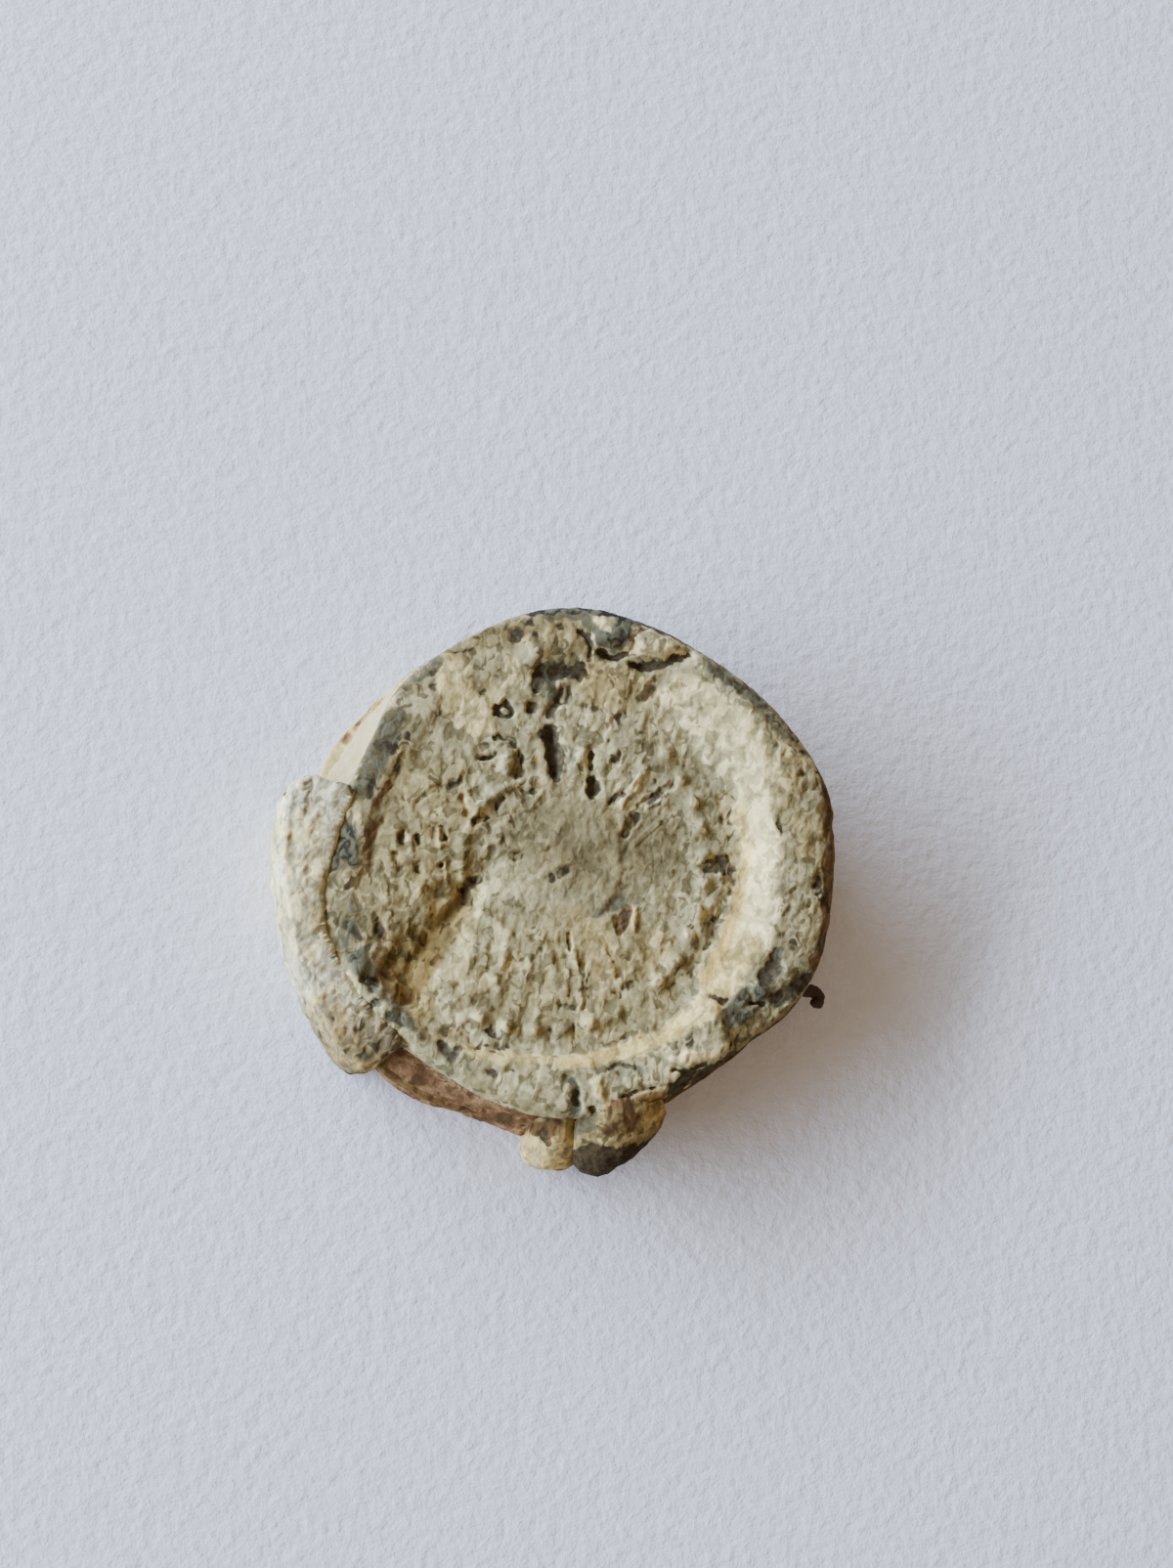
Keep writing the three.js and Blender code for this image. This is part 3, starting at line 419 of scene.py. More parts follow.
    (-0.03, {"bloom": 0.4}, [(-4.6, -4.2, 0.3), (-3.6, -4.4, 0.35), (-4.7, -5.2, 0.3)]),
    (-0.04, {"bloom": 0.5}, [(-6.1, -1.3, 0.18), (-5.7, -1.9, 0.18), (-6.1, -2.3, 0.14)]),
    # Flecks and beads' hollows in the lower half
    (0.05, {"soil": 0.5, "rust": 0.3}, [(-0.55, -2.7, 0.12), (-0.5, -3.1, 0.12)]),
    (0.05, {"soil": 0.45, "rust": 0.2}, [(0.0, -3.8, 0.14), (0.05, -4.9, 0.18), (0.0, -5.3, 0.14)]),
    (0.05, {"soil": 0.55}, [(-0.95, -5.1, 0.14), (-0.5, -5.3, 0.16)]),
    (0.05, {"soil": 0.45}, [(1.3, -4.8, 0.18), (1.9, -4.5, 0.16)]),
    (0.05, {"soil": 0.55}, [(-3.45, -5.9, 0.1), (-3.4, -6.3, 0.12)]),
    (0.04, {"soil": 0.5, "rust": 0.2}, [(-2.3, -6.0, 0.08), (-2.25, -6.4, 0.1)]),
    (0.04, {"soil": 0.5, "rust": 0.2}, [(-1.3, -6.1, 0.08), (-1.35, -6.5, 0.1)]),
    (0.04, {"soil": 0.55}, [(-0.35, -6.0, 0.09), (-0.3, -6.4, 0.08)]),
    (0.04, {"soil": 0.4, "warm": 0.4}, [(-5.0, -6.3, 0.3), (-3.9, -6.8, 0.2), (-2.8, -6.8, 0.16)]),
]

# Where the left rim is worn low, as a path of x, y and half width in millimetres, and the share of its
# height over the floor that is gone
WORN_RIM = [
    (-3.2, 7.7, 1.0),
    (-4.6, 6.9, 1.6),
    (-5.9, 5.8, 1.9),
    (-7.0, 4.2, 1.9),
    (-8.0, 2.2, 1.7),
    (-8.6, 0.0, 1.5),
    (-8.7, -2.6, 1.2),
]
RIM_WEAR = 0.8


# Shapes and noise, all in millimetres


def lattice_values(cells, seed):
    """One fixed number from -1 to 1 for each lattice cell and seed."""
    x, y, z = (cells[:, axis].astype(np.uint32) for axis in range(3))
    mixed = x * np.uint32(73856093) ^ y * np.uint32(19349663) ^ z * np.uint32(83492791)
    mixed ^= np.uint32((seed * 2654435761) % 2**32)
    mixed ^= mixed >> np.uint32(16)
    mixed *= np.uint32(2246822507)
    mixed ^= mixed >> np.uint32(13)
    mixed *= np.uint32(3266489909)
    mixed ^= mixed >> np.uint32(16)
    return mixed.astype(float) / 2**31 - 1


def smooth_noise(points, cell, seed):
    """Smooth bumps about one cell wide, from about -1 to 1."""
    place = points / cell
    base = np.floor(place).astype(np.int64)
    part = place - base
    ease = part**3 * (part * (part * 6 - 15) + 10)
    total = np.zeros(len(points))
    for corner in np.ndindex(2, 2, 2):
        share = np.prod(np.where(corner, ease, 1 - ease), axis=1)
        for axis in range(3):
            slope = lattice_values(base + corner, 3 * seed + axis)
            total += share * slope * (part[:, axis] - corner[axis])
    return 1.6 * total


def layered_noise(points, cell, layers, seed):
    """Smooth noise with finer and fainter layers on top."""
    total = np.zeros(len(points))
    for layer in range(layers):
        total += smooth_noise(points, cell / 2**layer, seed + layer) / 2**layer
    return total / 1.4


def soft_step(value, low, high):
    """0 below low, 1 above high, and a smooth rise between them."""
    share = np.clip((value - low) / (high - low), 0, 1)
    return share * share * (3 - 2 * share)


def soft_band(value, low, full_from, full_to, high):
    """1 between the two middle values, with a smooth fall to 0 at low and at high."""
    return soft_step(value, low, full_from) * (1 - soft_step(value, full_to, high))


def path_cover(x, y, path):
    """How far a mark covers each point, 0 to 1. The path is a list of x, y and half width."""
    path = np.array(path, float)
    if len(path) == 1:
        ratio = np.hypot(x - path[0, 0], y - path[0, 1]) / path[0, 2]
        return 1 - soft_step(ratio, MARK_FULL, MARK_GONE)
    ratio = np.full(x.shape, np.inf)
    for start, end in zip(path[:-1], path[1:]):
        run = end[:2] - start[:2]
        along = ((x - start[0]) * run[0] + (y - start[1]) * run[1]) / (run @ run)
        along = np.clip(along, 0, 1)
        away = np.hypot(x - start[0] - along * run[0], y - start[1] - along * run[1])
        ratio = np.minimum(ratio, away / (start[2] + along * (end[2] - start[2])))
    return 1 - soft_step(ratio, MARK_FULL, MARK_GONE)


def angles_round(steps):
    """Angles of a full turn in equal steps."""
    return np.arange(steps) * FULL_TURN / steps


def radius_of(points):
    """Distance of each point from the axis."""
    return np.hypot(points[:, 0], points[:, 1])


def degrees_round(points):
    """Angle of each point round the axis, 0 to 360 degrees."""
    return np.degrees(np.arctan2(points[:, 1], points[:, 0])) % 360


class Solid:
    """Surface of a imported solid, found with rays."""

    def __init__(self, name):
        mesh = frame["nodes"][name].data
        corners = [vertex.co / MM for vertex in mesh.vertices]
        self.tree = BVHTree.FromPolygons(corners, [face.vertices for face in mesh.polygons])
        low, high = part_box(name)
        self.low = np.array(low) / MM
        self.high = np.array(high) / MM

    def hit(self, start, direction):
        """The first point of the surface from start along direction."""
        found = self.tree.ray_cast(Vector(start), Vector(direction))[0]
        if found is None:
            raise RuntimeError("a ray missed the solid")
        return found

    def edge(self, angles, heights):
        """Outermost radius at each angle, over several heights."""
        reach = np.zeros(len(angles))
        for k, angle in enumerate(angles):
            out = np.array([math.cos(angle), math.sin(angle), 0.0])
            for height in heights:
                found = self.hit(BESIDE * out + [0, 0, height], -out)
                reach[k] = max(reach[k], math.hypot(found.x, found.y))
        return reach


def blur(values, round_passes, along_passes):
    """Smooths a grid of steps round the axis by points along the profile."""
    for _ in range(round_passes):
        values = (np.roll(values, 1, 0) + 2 * values + np.roll(values, -1, 0)) / 4
    for _ in range(along_passes):
        inner = (values[:, :-2] + 2 * values[:, 1:-1] + values[:, 2:]) / 4
        values = np.concatenate([values[:, :1], inner, values[:, -1:]], axis=1)
    return values


def ring_points(radius, angles, height):
    """Points round the axis at each angle. Radius and height are one number or one for each angle."""
    radius = np.broadcast_to(radius, angles.shape)
    height = np.broadcast_to(height, angles.shape)
    return np.stack([radius * np.cos(angles), radius * np.sin(angles), height], axis=1)


# Meshes


def pick_none():
    bpy.ops.object.select_all(action="DESELECT")


def read_points(mesh):
    """Vertex places of a mesh, in millimetres."""
    flat = np.empty(3 * len(mesh.vertices), np.float32)
    mesh.vertices.foreach_get("co", flat)
    return flat.reshape(-1, 3).astype(float) / MM


def write_points(mesh, points):
    """Moves the vertices of a mesh to places in millimetres."""
    mesh.vertices.foreach_set("co", (points * MM).astype(np.float32).ravel())
    mesh.update()


def read_normals(mesh):
    """Directions in which the vertices of a mesh face."""
    flat = np.empty(3 * len(mesh.vertices), np.float32)
    mesh.vertex_normals.foreach_get("vector", flat)
    return flat.reshape(-1, 3).astype(float)


def no_stains(count):
    """Stains for a number of points that have none yet."""
    return {name: np.zeros(count) for name in STAINS}


def add_stains(stains, **amounts):
    """Lays more of some stains over what is there."""
    for name, amount in amounts.items():
        stains[name] = 1 - (1 - stains[name]) * (1 - np.clip(amount, 0, 1))


def write_stains(mesh, stains):
    """Stores how much of each stain lies on each vertex."""
    for name in STAINS:
        attribute = mesh.attributes.new(name, "FLOAT", "POINT")
        attribute.data.foreach_set("value", np.clip(stains[name], 0, 1).astype(np.float32))


def spun_piece(name, grid):
    """Spins the mean profile of a grid of places round the Z axis, then moves each corner to its place.

    The grid holds steps round the axis by points along the profile. Returns the piece and the grid's
    vertex numbers.
    """
    steps, rings = grid.shape[:2]
    profile_radius = np.hypot(grid[..., 0], grid[..., 1]).mean(0)
    profile_height = grid[..., 2].mean(0)
    pick_none()
    bpy.ops.mesh.primitive_grid_add(x_subdivisions=rings - 1, y_subdivisions=1, size=1)
    piece = bpy.context.active_object
    piece.name = name
    piece.data.name = name
    bpy.ops.object.mode_set(mode="EDIT")
    bpy.ops.mesh.select_mode(type="VERT")
    bpy.ops.mesh.select_all(action="DESELECT")
    bpy.ops.object.mode_set(mode="OBJECT")
    for vertex in piece.data.vertices:
        vertex.select = vertex.co.y > 0
    bpy.ops.object.mode_set(mode="EDIT")
    bpy.ops.mesh.delete(type="VERT")
    bpy.ops.object.mode_set(mode="OBJECT")
    profile = np.stack([profile_radius, np.zeros(rings), profile_height], axis=1)
    write_points(piece.data, profile)
    screw = piece.modifiers.new("Turn", "SCREW")
    screw.angle = FULL_TURN
    screw.steps = steps
    screw.render_steps = steps
    screw.use_merge_vertices = True
    screw.merge_threshold = 1e-7
    bpy.ops.object.modifier_apply(modifier=screw.name)
    bpy.ops.object.mode_set(mode="EDIT")
    bpy.ops.mesh.select_all(action="SELECT")
    bpy.ops.mesh.remove_doubles(threshold=1e-7)
    bpy.ops.mesh.normals_make_consistent(inside=False)
    bpy.ops.object.mode_set(mode="OBJECT")

    places = read_points(piece.data)
    radius = radius_of(places)
    step = np.round(np.arctan2(places[:, 1], places[:, 0]) * steps / FULL_TURN).astype(int) % steps
    corner = np.full((steps, rings), -1)
    for ring in range(rings):
        near = np.abs(radius - profile_radius[ring]) + np.abs(places[:, 2] - profile_height[ring])
        found = np.flatnonzero(near < 2e-4)
        if profile_radius[ring] < 1e-6:
            corner[:, ring] = found[0]
        else:
            corner[step[found], ring] = found
    if corner.min() < 0 or len(np.unique(corner)) != len(places):
        raise RuntimeError(f"{name}: the spun mesh doesn't match its grid")
    places[corner.ravel()] = grid.reshape(-1, 3)
    write_points(piece.data, places)
    bpy.ops.object.shade_smooth()
    return piece, corner


def stained_spin(name, grid, columns, stains):
    """A spun piece with stains on some columns of its grid."""
    piece, corner = spun_piece(name, grid)
    full = no_stains(len(piece.data.vertices))
    for stain in STAINS:
        full[stain][corner[:, columns].ravel()] = stains[stain]
    write_stains(piece.data, full)
    return piece


def smooth_out(piece, passes):
    """Evens out the corners of a piece."""
    smooth = piece.modifiers.new("Smooth", "SMOOTH")
    smooth.factor = 0.5
    smooth.iterations = passes
    bpy.ops.object.modifier_apply(modifier=smooth.name)


def remeshed_copy(node, name, voxel, smoothing):
    """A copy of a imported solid, merged and remeshed fine enough to sculpt."""
    pick_none()
    piece = frame["nodes"][node].copy()
    piece.data = piece.data.copy()
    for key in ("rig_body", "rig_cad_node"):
        if key in piece:
            del piece[key]
    piece.parent = None
    piece.name = name
    piece.data.name = name
    piece.data.materials.clear()
    bpy.context.scene.collection.objects.link(piece)
    piece.select_set(True)
    bpy.context.view_layer.objects.active = piece
    bpy.ops.object.mode_set(mode="EDIT")
    bpy.ops.mesh.select_all(action="SELECT")
    bpy.ops.mesh.remove_doubles(threshold=1e-6)
    bpy.ops.object.mode_set(mode="OBJECT")
    remesh = piece.modifiers.new("Remesh", "REMESH")
    remesh.mode = "VOXEL"
    remesh.voxel_size = voxel * MM
    bpy.ops.object.modifier_apply(modifier=remesh.name)
    smooth_out(piece, smoothing)
    bpy.ops.object.shade_smooth()
    return piece


# Surface of the lead


def grain(points, seed):
    """Corroded skin of the lead: clotted bumps a few tenths of a millimetre wide.

    Returns the height of the bumps, from about -1 to 1, and how deep each point lies in a hollow, 0 to 1.
    """
    # the bumps are turned a little and drawn out one way
    turned = points @ np.array([[0.97, 0.25, 0.0], [-0.25, 0.97, 0.0], [0.0, 0.0, 1.0]])
    stretched = turned * np.array([1.0, 0.7, 1.0])
    swirl = [0.12 * smooth_noise(points, cell=0.45, seed=seed + axis) for axis in range(3)]
    stretched = stretched + np.stack(swirl, axis=1)
    coarse = smooth_noise(stretched, cell=0.42, seed=seed + 5)
    fine = smooth_noise(stretched, cell=0.21, seed=seed + 7)
    bumps = 0.75 * coarse + 0.5 * fine
    hollow = soft_step(-bumps, 0.12, 0.7)
    return bumps, hollow


def die_relief(x, y, sizes):
    """What is left of the struck design: a beaded circle, an inner ring and worn strokes.

    Returns its height and how far a clear bead covers each point.
    """
    ring_height = 0.03
    ring_width = 0.16
    radius = np.hypot(x - sizes.die_x, y - sizes.die_y)
    height = ring_height * np.exp(-(((radius - sizes.inner_ring_radius) / ring_width) ** 2))
    bead_highlight = np.zeros(len(x))
    count = int(round(FULL_TURN * sizes.bead_circle_radius / sizes.bead_spacing))
    first_bead = math.radians(2.5)
    chooser = np.random.default_rng(5)
    for k in range(count):
        turn = first_bead + FULL_TURN * k / count
        bead_x = sizes.die_x + sizes.bead_circle_radius * math.cos(turn)
        bead_y = sizes.die_y + sizes.bead_circle_radius * math.sin(turn)
        # the beads are clear only at the right and at the very bottom, and worn away elsewhere
        clear = math.cos(turn) > 0.7 or math.sin(turn) < -0.92
        tall = chooser.uniform(0.07, 0.11) if clear else chooser.uniform(-0.03, 0.03)
        away = np.hypot(x - bead_x, y - bead_y)
        height = height + tall * (1 - soft_step(away, 0.14, 0.36))
        if clear:
            bead_highlight = np.maximum(bead_highlight, 1 - soft_step(away, 0.1, 0.34))
    strokes = 26
    for k in range(strokes):
        turn = FULL_TURN * k / strokes
        # each stroke points outwards, between the inner ring and the beads
        path = []
        for reach in (chooser.uniform(3.3, 3.9), chooser.uniform(4.3, 5.1)):
            shift = chooser.uniform(-0.1, 0.1)
            along_x = sizes.die_x + reach * math.cos(turn + shift)
            along_y = sizes.die_y + reach * math.sin(turn + shift)
            path.append((along_x, along_y, chooser.uniform(0.1, 0.2)))
        height = height + chooser.uniform(-0.025, 0.035) * path_cover(x, y, path)
    return height, bead_highlight


def wander(points):
    """Small sideways shifts that give straight marks ragged sides."""
    flat = points * [1, 1, 0]
    shift = np.zeros(points.shape)
    for axis in range(2):
        shift[:, axis] = 0.16 * smooth_noise(flat, cell=0.6, seed=101 + 2 * axis)
        shift[:, axis] += 0.07 * smooth_noise(flat, cell=0.22, seed=102 + 2 * axis)
    return shift


def struck_face(points, sizes):
    """Sculpting of the struck face: how far each point moves out of the surface, and its stains."""
    x, y = points[:, 0], points[:, 1]
    stains = no_stains(len(points))
    flat = points * [1, 1, 0]
    ragged = points + wander(points)
    marks = np.zeros(len(points))
    for depth, amounts, path in FACE_MARKS:
        cover = path_cover(ragged[:, 0], ragged[:, 1], path)
        marks -= depth * cover
        add_stains(stains, **{name: amount * cover for name, amount in amounts.items()})
    slope = stains["bloom"].copy()
    from_middle = np.hypot(x - 0.4, y + 0.2) + 0.5 * smooth_noise(flat, cell=1.3, seed=105)
    middle = 1 - soft_step(from_middle, 2.6, 3.6)
    add_stains(stains, calm=middle)
    rough = (1 - 0.45 * slope) * (1 - 0.45 * middle)
    bumps, hollow = grain(points, seed=31)
    swell = layered_noise(points, cell=2.6, layers=2, seed=41)
    lump = layered_noise(points, cell=0.95, layers=2, seed=51)
    relief, bead_highlight = die_relief(x, y, sizes)
    height = marks + relief
    height += 0.04 * swell + 0.045 * lump * (0.3 + 0.7 * rough)
    height += sizes.grain_height * rough * bumps
    add_stains(stains, soil=0.3 * hollow * rough)
    add_stains(stains, soil=0.22 * soft_step(-lump, 0.1, 0.8) * rough)
    add_stains(stains, bloom=0.3 * soft_step(lump + 0.4 * bumps, 0.2, 0.9) * rough)
    # clear beads get cream on their tops: a painted highlight
    add_stains(stains, bloom=0.55 * bead_highlight)
    return height, stains


# Materials


class Shading:
    """A material's node tree, with short calls to add nodes to it."""

    def __init__(self, name):
        self.material = bpy.data.materials.new(name)
        self.material.use_nodes = True
        self.nodes = self.material.node_tree.nodes
        self.links = self.material.node_tree.links
        self.shader = self.nodes["Principled BSDF"]
        place = self.nodes.new("ShaderNodeTexCoord")
        scaled = self.nodes.new("ShaderNodeMapping")
        scaled.inputs["Scale"].default_value = (1 / MM, 1 / MM, 1 / MM)
        self.links.new(place.outputs["Object"], scaled.inputs["Vector"])
        self.place = scaled.outputs["Vector"]
        # the same place turned and drawn out, for a crust with a grain
        drawn = self.nodes.new("ShaderNodeMapping")
        drawn.vector_type = "TEXTURE"
        drawn.inputs["Rotation"].default_value = (0, 0, math.radians(-15))
        drawn.inputs["Scale"].default_value = (MM, 1.45 * MM, MM)
        self.links.new(place.outputs["Object"], drawn.inputs["Vector"])
        self.drawn_out = drawn.outputs["Vector"]

    def set(self, socket, value):
        """Links a node's output to a socket, or sets a plain value."""
        if isinstance(value, bpy.types.NodeSocket):
            self.links.new(value, socket)
        elif hasattr(value, "__len__") and socket.type == "RGBA":
            socket.default_value = (*value[:3], 1.0)
        else:
            socket.default_value = value

    def noise(self, cell, detail=3.0, roughness=0.55, swirl=0.0, place=None):
        """Noise in bumps about one cell wide, in millimetres, from 0 to 1."""
        node = self.nodes.new("ShaderNodeTexNoise")
        self.set(node.inputs["Vector"], place or self.place)
        node.inputs["Scale"].default_value = 1 / cell
        node.inputs["Detail"].default_value = detail
        node.inputs["Roughness"].default_value = roughness
        node.inputs["Distortion"].default_value = swirl
        return node.outputs["Fac"]

    def stain(self, name):
        node = self.nodes.new("ShaderNodeAttribute")
        node.attribute_name = name
        return node.outputs["Fac"]

    def spread(self, value, low, high, to_low=0.0, to_high=1.0):
        """Maps low to high onto another range, with soft ends."""
        node = self.nodes.new("ShaderNodeMapRange")
        node.interpolation_type = "SMOOTHSTEP"
        for name, number in (
            ("Value", value),
            ("From Min", low),
            ("From Max", high),
            ("To Min", to_low),
            ("To Max", to_high),
        ):
            self.set(node.inputs[name], number)
        return node.outputs["Result"]

    def math(self, operation, first, second):
        node = self.nodes.new("ShaderNodeMath")
        node.operation = operation
        self.set(node.inputs[0], first)
        self.set(node.inputs[1], second)
        return node.outputs["Value"]

    def rest(self, share):
        """What a share leaves of 1."""
        return self.math("SUBTRACT", 1.0, share)

    def mix(self, share, first, second, blend="MIX"):
        node = self.nodes.new("ShaderNodeMix")
        node.data_type = "RGBA"
        node.blend_type = blend
        self.set(node.inputs[0], share)
        self.set(node.inputs[6], first)
        self.set(node.inputs[7], second)
        return node.outputs[2]

    def bump(self, height, depth, under=None):
        """Fine relief of a depth in millimetres, over other relief."""
        node = self.nodes.new("ShaderNodeBump")
        node.inputs["Distance"].default_value = depth * MM
        self.set(node.inputs["Height"], height)
        if under is not None:
            self.set(node.inputs["Normal"], under)
        return node.outputs["Normal"]


def ragged_cover(shading, stain, mottle):
    """Turns a stain's amount into patches with ragged borders that follow the mottle."""
    amount = shading.stain(stain)
    lifted = shading.math("MULTIPLY", shading.math("SUBTRACT", mottle, 0.5), 4.0)
    pushed = shading.math("MULTIPLY", shading.math("SUBTRACT", amount, 0.48), 2.8)
    patches = shading.spread(shading.math("ADD", lifted, pushed), -0.55, 0.55)
    return shading.math("MULTIPLY", patches, shading.spread(amount, 0.02, 0.2))


def lead_material(name, tones, colours):
    """Corroded lead: mottled crust, soil in its hollows, rust-brown earth, cream bloom and bare metal.

    The tones are the crust's light blobs, its middle and its dark flecks. Where the marks call for it, the
    soil, rust and dimming also paint shade, and the bloom paints a highlight.
    """
    light, middle, dark = tones
    shading = Shading(name)
    blobs = shading.noise(0.55, detail=1.5, roughness=0.5, swirl=0.5, place=shading.drawn_out)
    flecks = shading.noise(0.34, detail=1.2, roughness=0.5, swirl=0.7, place=shading.drawn_out)
    specks = shading.noise(0.2, detail=2.0, roughness=0.55, swirl=0.4)
    smears = shading.noise(1.6, detail=3.0, roughness=0.55, swirl=0.4)
    busy = shading.rest(shading.math("MULTIPLY", shading.stain("calm"), 0.35))
    light_share = shading.math("MULTIPLY", shading.spread(blobs, 0.5, 0.57, to_high=0.95), busy)
    dark_share = shading.math("MULTIPLY", shading.spread(flecks, 0.47, 0.4, to_high=0.95), busy)
    colour = shading.mix(shading.spread(smears, 0.42, 0.66, to_high=0.6), middle, colours.crust_tan)
    colour = shading.mix(light_share, colour, light)
    # cream bloom, which at some marks is also a painted highlight
    cream = shading.mix(shading.spread(blobs, 0.42, 0.56), colours.bloom_shade, colours.bloom)
    colour = shading.mix(ragged_cover(shading, "bloom", blobs), colour, cream)
    thinned = shading.rest(shading.math("MULTIPLY", shading.stain("bloom"), 0.55))
    colour = shading.mix(shading.math("MULTIPLY", dark_share, thinned), colour, dark)
    speckle = shading.spread(specks, 0.3, 0.7, 0.86, 1.14)
    colour = shading.mix(1.0, colour, speckle, "MULTIPLY")
    clouds = shading.spread(shading.noise(1.9, detail=2.0, roughness=0.5, swirl=0.4), 0.34, 0.66, 0.8, 1.14)
    colour = shading.mix(1.0, colour, clouds, "MULTIPLY")
    metal = shading.mix(shading.spread(flecks, 0.42, 0.6), colours.bare_dark, colours.bare_light)
    colour = shading.mix(ragged_cover(shading, "bare", flecks), colour, metal)
    # rust-brown earth, which at some marks is also painted shade
    earth = shading.mix(shading.spread(flecks, 0.38, 0.62), colours.rust_dark, colours.rust_light)
    colour = shading.mix(ragged_cover(shading, "rust", blobs), colour, earth)
    # dark soil, which at some marks is also painted shade
    dirt_and_shade = shading.mix(shading.spread(specks, 0.35, 0.65), colours.soil, colours.soil_light)
    colour = shading.mix(ragged_cover(shading, "soil", shading.rest(flecks)), colour, dirt_and_shade)
    for stain, tint in (("warm", colours.warmth), ("shade", colours.dimming)):
        tinted = shading.mix(1.0, colour, tint, "MULTIPLY")
        colour = shading.mix(shading.stain(stain), colour, tinted)
    shading.set(shading.shader.inputs["Base Color"], colour)
    gloss = shading.spread(shading.stain("bare"), 0.4, 0.9, 0.92, 0.75)
    shading.set(shading.shader.inputs["Roughness"], gloss)
    shading.shader.inputs["Specular IOR Level"].default_value = 0.15
    relief = shading.bump(blobs, 0.055)
    relief = shading.bump(flecks, 0.032, relief)
    relief = shading.bump(specks, 0.013, relief)
    shading.set(shading.shader.inputs["Normal"], relief)
    return shading.material


def earth_material(colours):
    """Dry brown earth, paler where the lead's white crust runs over it, and darker under soil and painted
    shade.
    """
    shading = Shading("dry_earth")
    clots = shading.noise(0.5, detail=3.0, roughness=0.6, swirl=0.6)
    specks = shading.noise(0.16, detail=3.0, roughness=0.65)
    tone = shading.spread(clots, 0.33, 0.67)
    colour = shading.mix(tone, colours.earth_dark, colours.earth_light)
    speckle = shading.spread(specks, 0.3, 0.7, 0.75, 1.22)
    colour = shading.mix(1.0, colour, speckle, "MULTIPLY")
    cream = shading.mix(shading.spread(clots, 0.3, 0.62), colours.bloom_shade, colours.pale_earth)
    colour = shading.mix(ragged_cover(shading, "bloom", clots), colour, cream)
    colour = shading.mix(ragged_cover(shading, "rust", clots), colour, colours.rust_dark)
    colour = shading.mix(ragged_cover(shading, "soil", shading.rest(specks)), colour, colours.soil)
    shading.set(shading.shader.inputs["Base Color"], colour)
    shading.shader.inputs["Roughness"].default_value = 1.0
    shading.shader.inputs["Specular IOR Level"].default_value = 0.1
    relief = shading.bump(clots, 0.08)
    shading.set(shading.shader.inputs["Normal"], shading.bump(specks, 0.04, relief))
    return shading.material


def thread_material(colours):
    """Dark dry fibre with lighter flecks."""
    shading = Shading("dry_thread")
    light = tuple(2.2 * part for part in colours.thread)
    colour = shading.mix(shading.noise(0.12, detail=2.0), colours.thread, light)
    shading.set(shading.shader.inputs["Base Color"], colour)
    shading.shader.inputs["Roughness"].default_value = 0.9
    shading.set(shading.shader.inputs["Normal"], shading.bump(shading.noise(0.08, detail=2.0), 0.02))
    return shading.material


def paper_material(colours):
    """Pale uncoated paper with a faint tooth."""
    shading = Shading("paper")
    shade = shading.spread(shading.noise(0.9, detail=5.0, roughness=0.65), 0.3, 0.7, 0.93, 1.0)
    colour = shading.mix(1.0, colours.paper, shade, "MULTIPLY")
    shading.set(shading.shader.inputs["Base Color"], colour)
    shading.shader.inputs["Roughness"].default_value = 0.95
    shading.shader.inputs["Specular IOR Level"].default_value = 0.2
    relief = shading.bump(shading.noise(0.5, detail=4.0, roughness=0.6), 0.08)
    shading.set(shading.shader.inputs["Normal"], relief)
    return shading.material


# Settings


def size_property(name, description, default, **limits):
    return FloatProperty(name=name, description=description, default=default, **limits)


def colour_property(name, description, colour):
    return FloatVectorProperty(
        name=name, description=description, default=colour, subtype="COLOR", size=3, min=0, max=1
    )


class SealSizes(bpy.types.PropertyGroup):
    """Sizes of the sculpted surface, in millimetres."""

    die_x: size_property("Die centre X", "Place of the struck design's centre, mm", -1.64)
    die_y: size_property("Die centre Y", "Place of the struck design's centre, mm", 0.06)
    bead_circle_radius: size_property("Bead circle radius", "Radius of the beaded circle, mm", 6.2, min=1)
    bead_spacing: size_property("Bead spacing", "From bead to bead, mm", 1.025, min=0.3)
    inner_ring_radius: size_property("Inner ring radius", "Radius of the middle ring, mm", 2.9, min=0.5)
    floor_height: size_property("Floor height", "Height of the struck floor over the paper, mm", 2.8)
    grain_height: size_property("Grain height", "Depth of the corroded grain, mm", 0.045, min=0)
    steps_round: IntProperty(name="Steps round", description="Faces round the leaves", default=700, min=96)


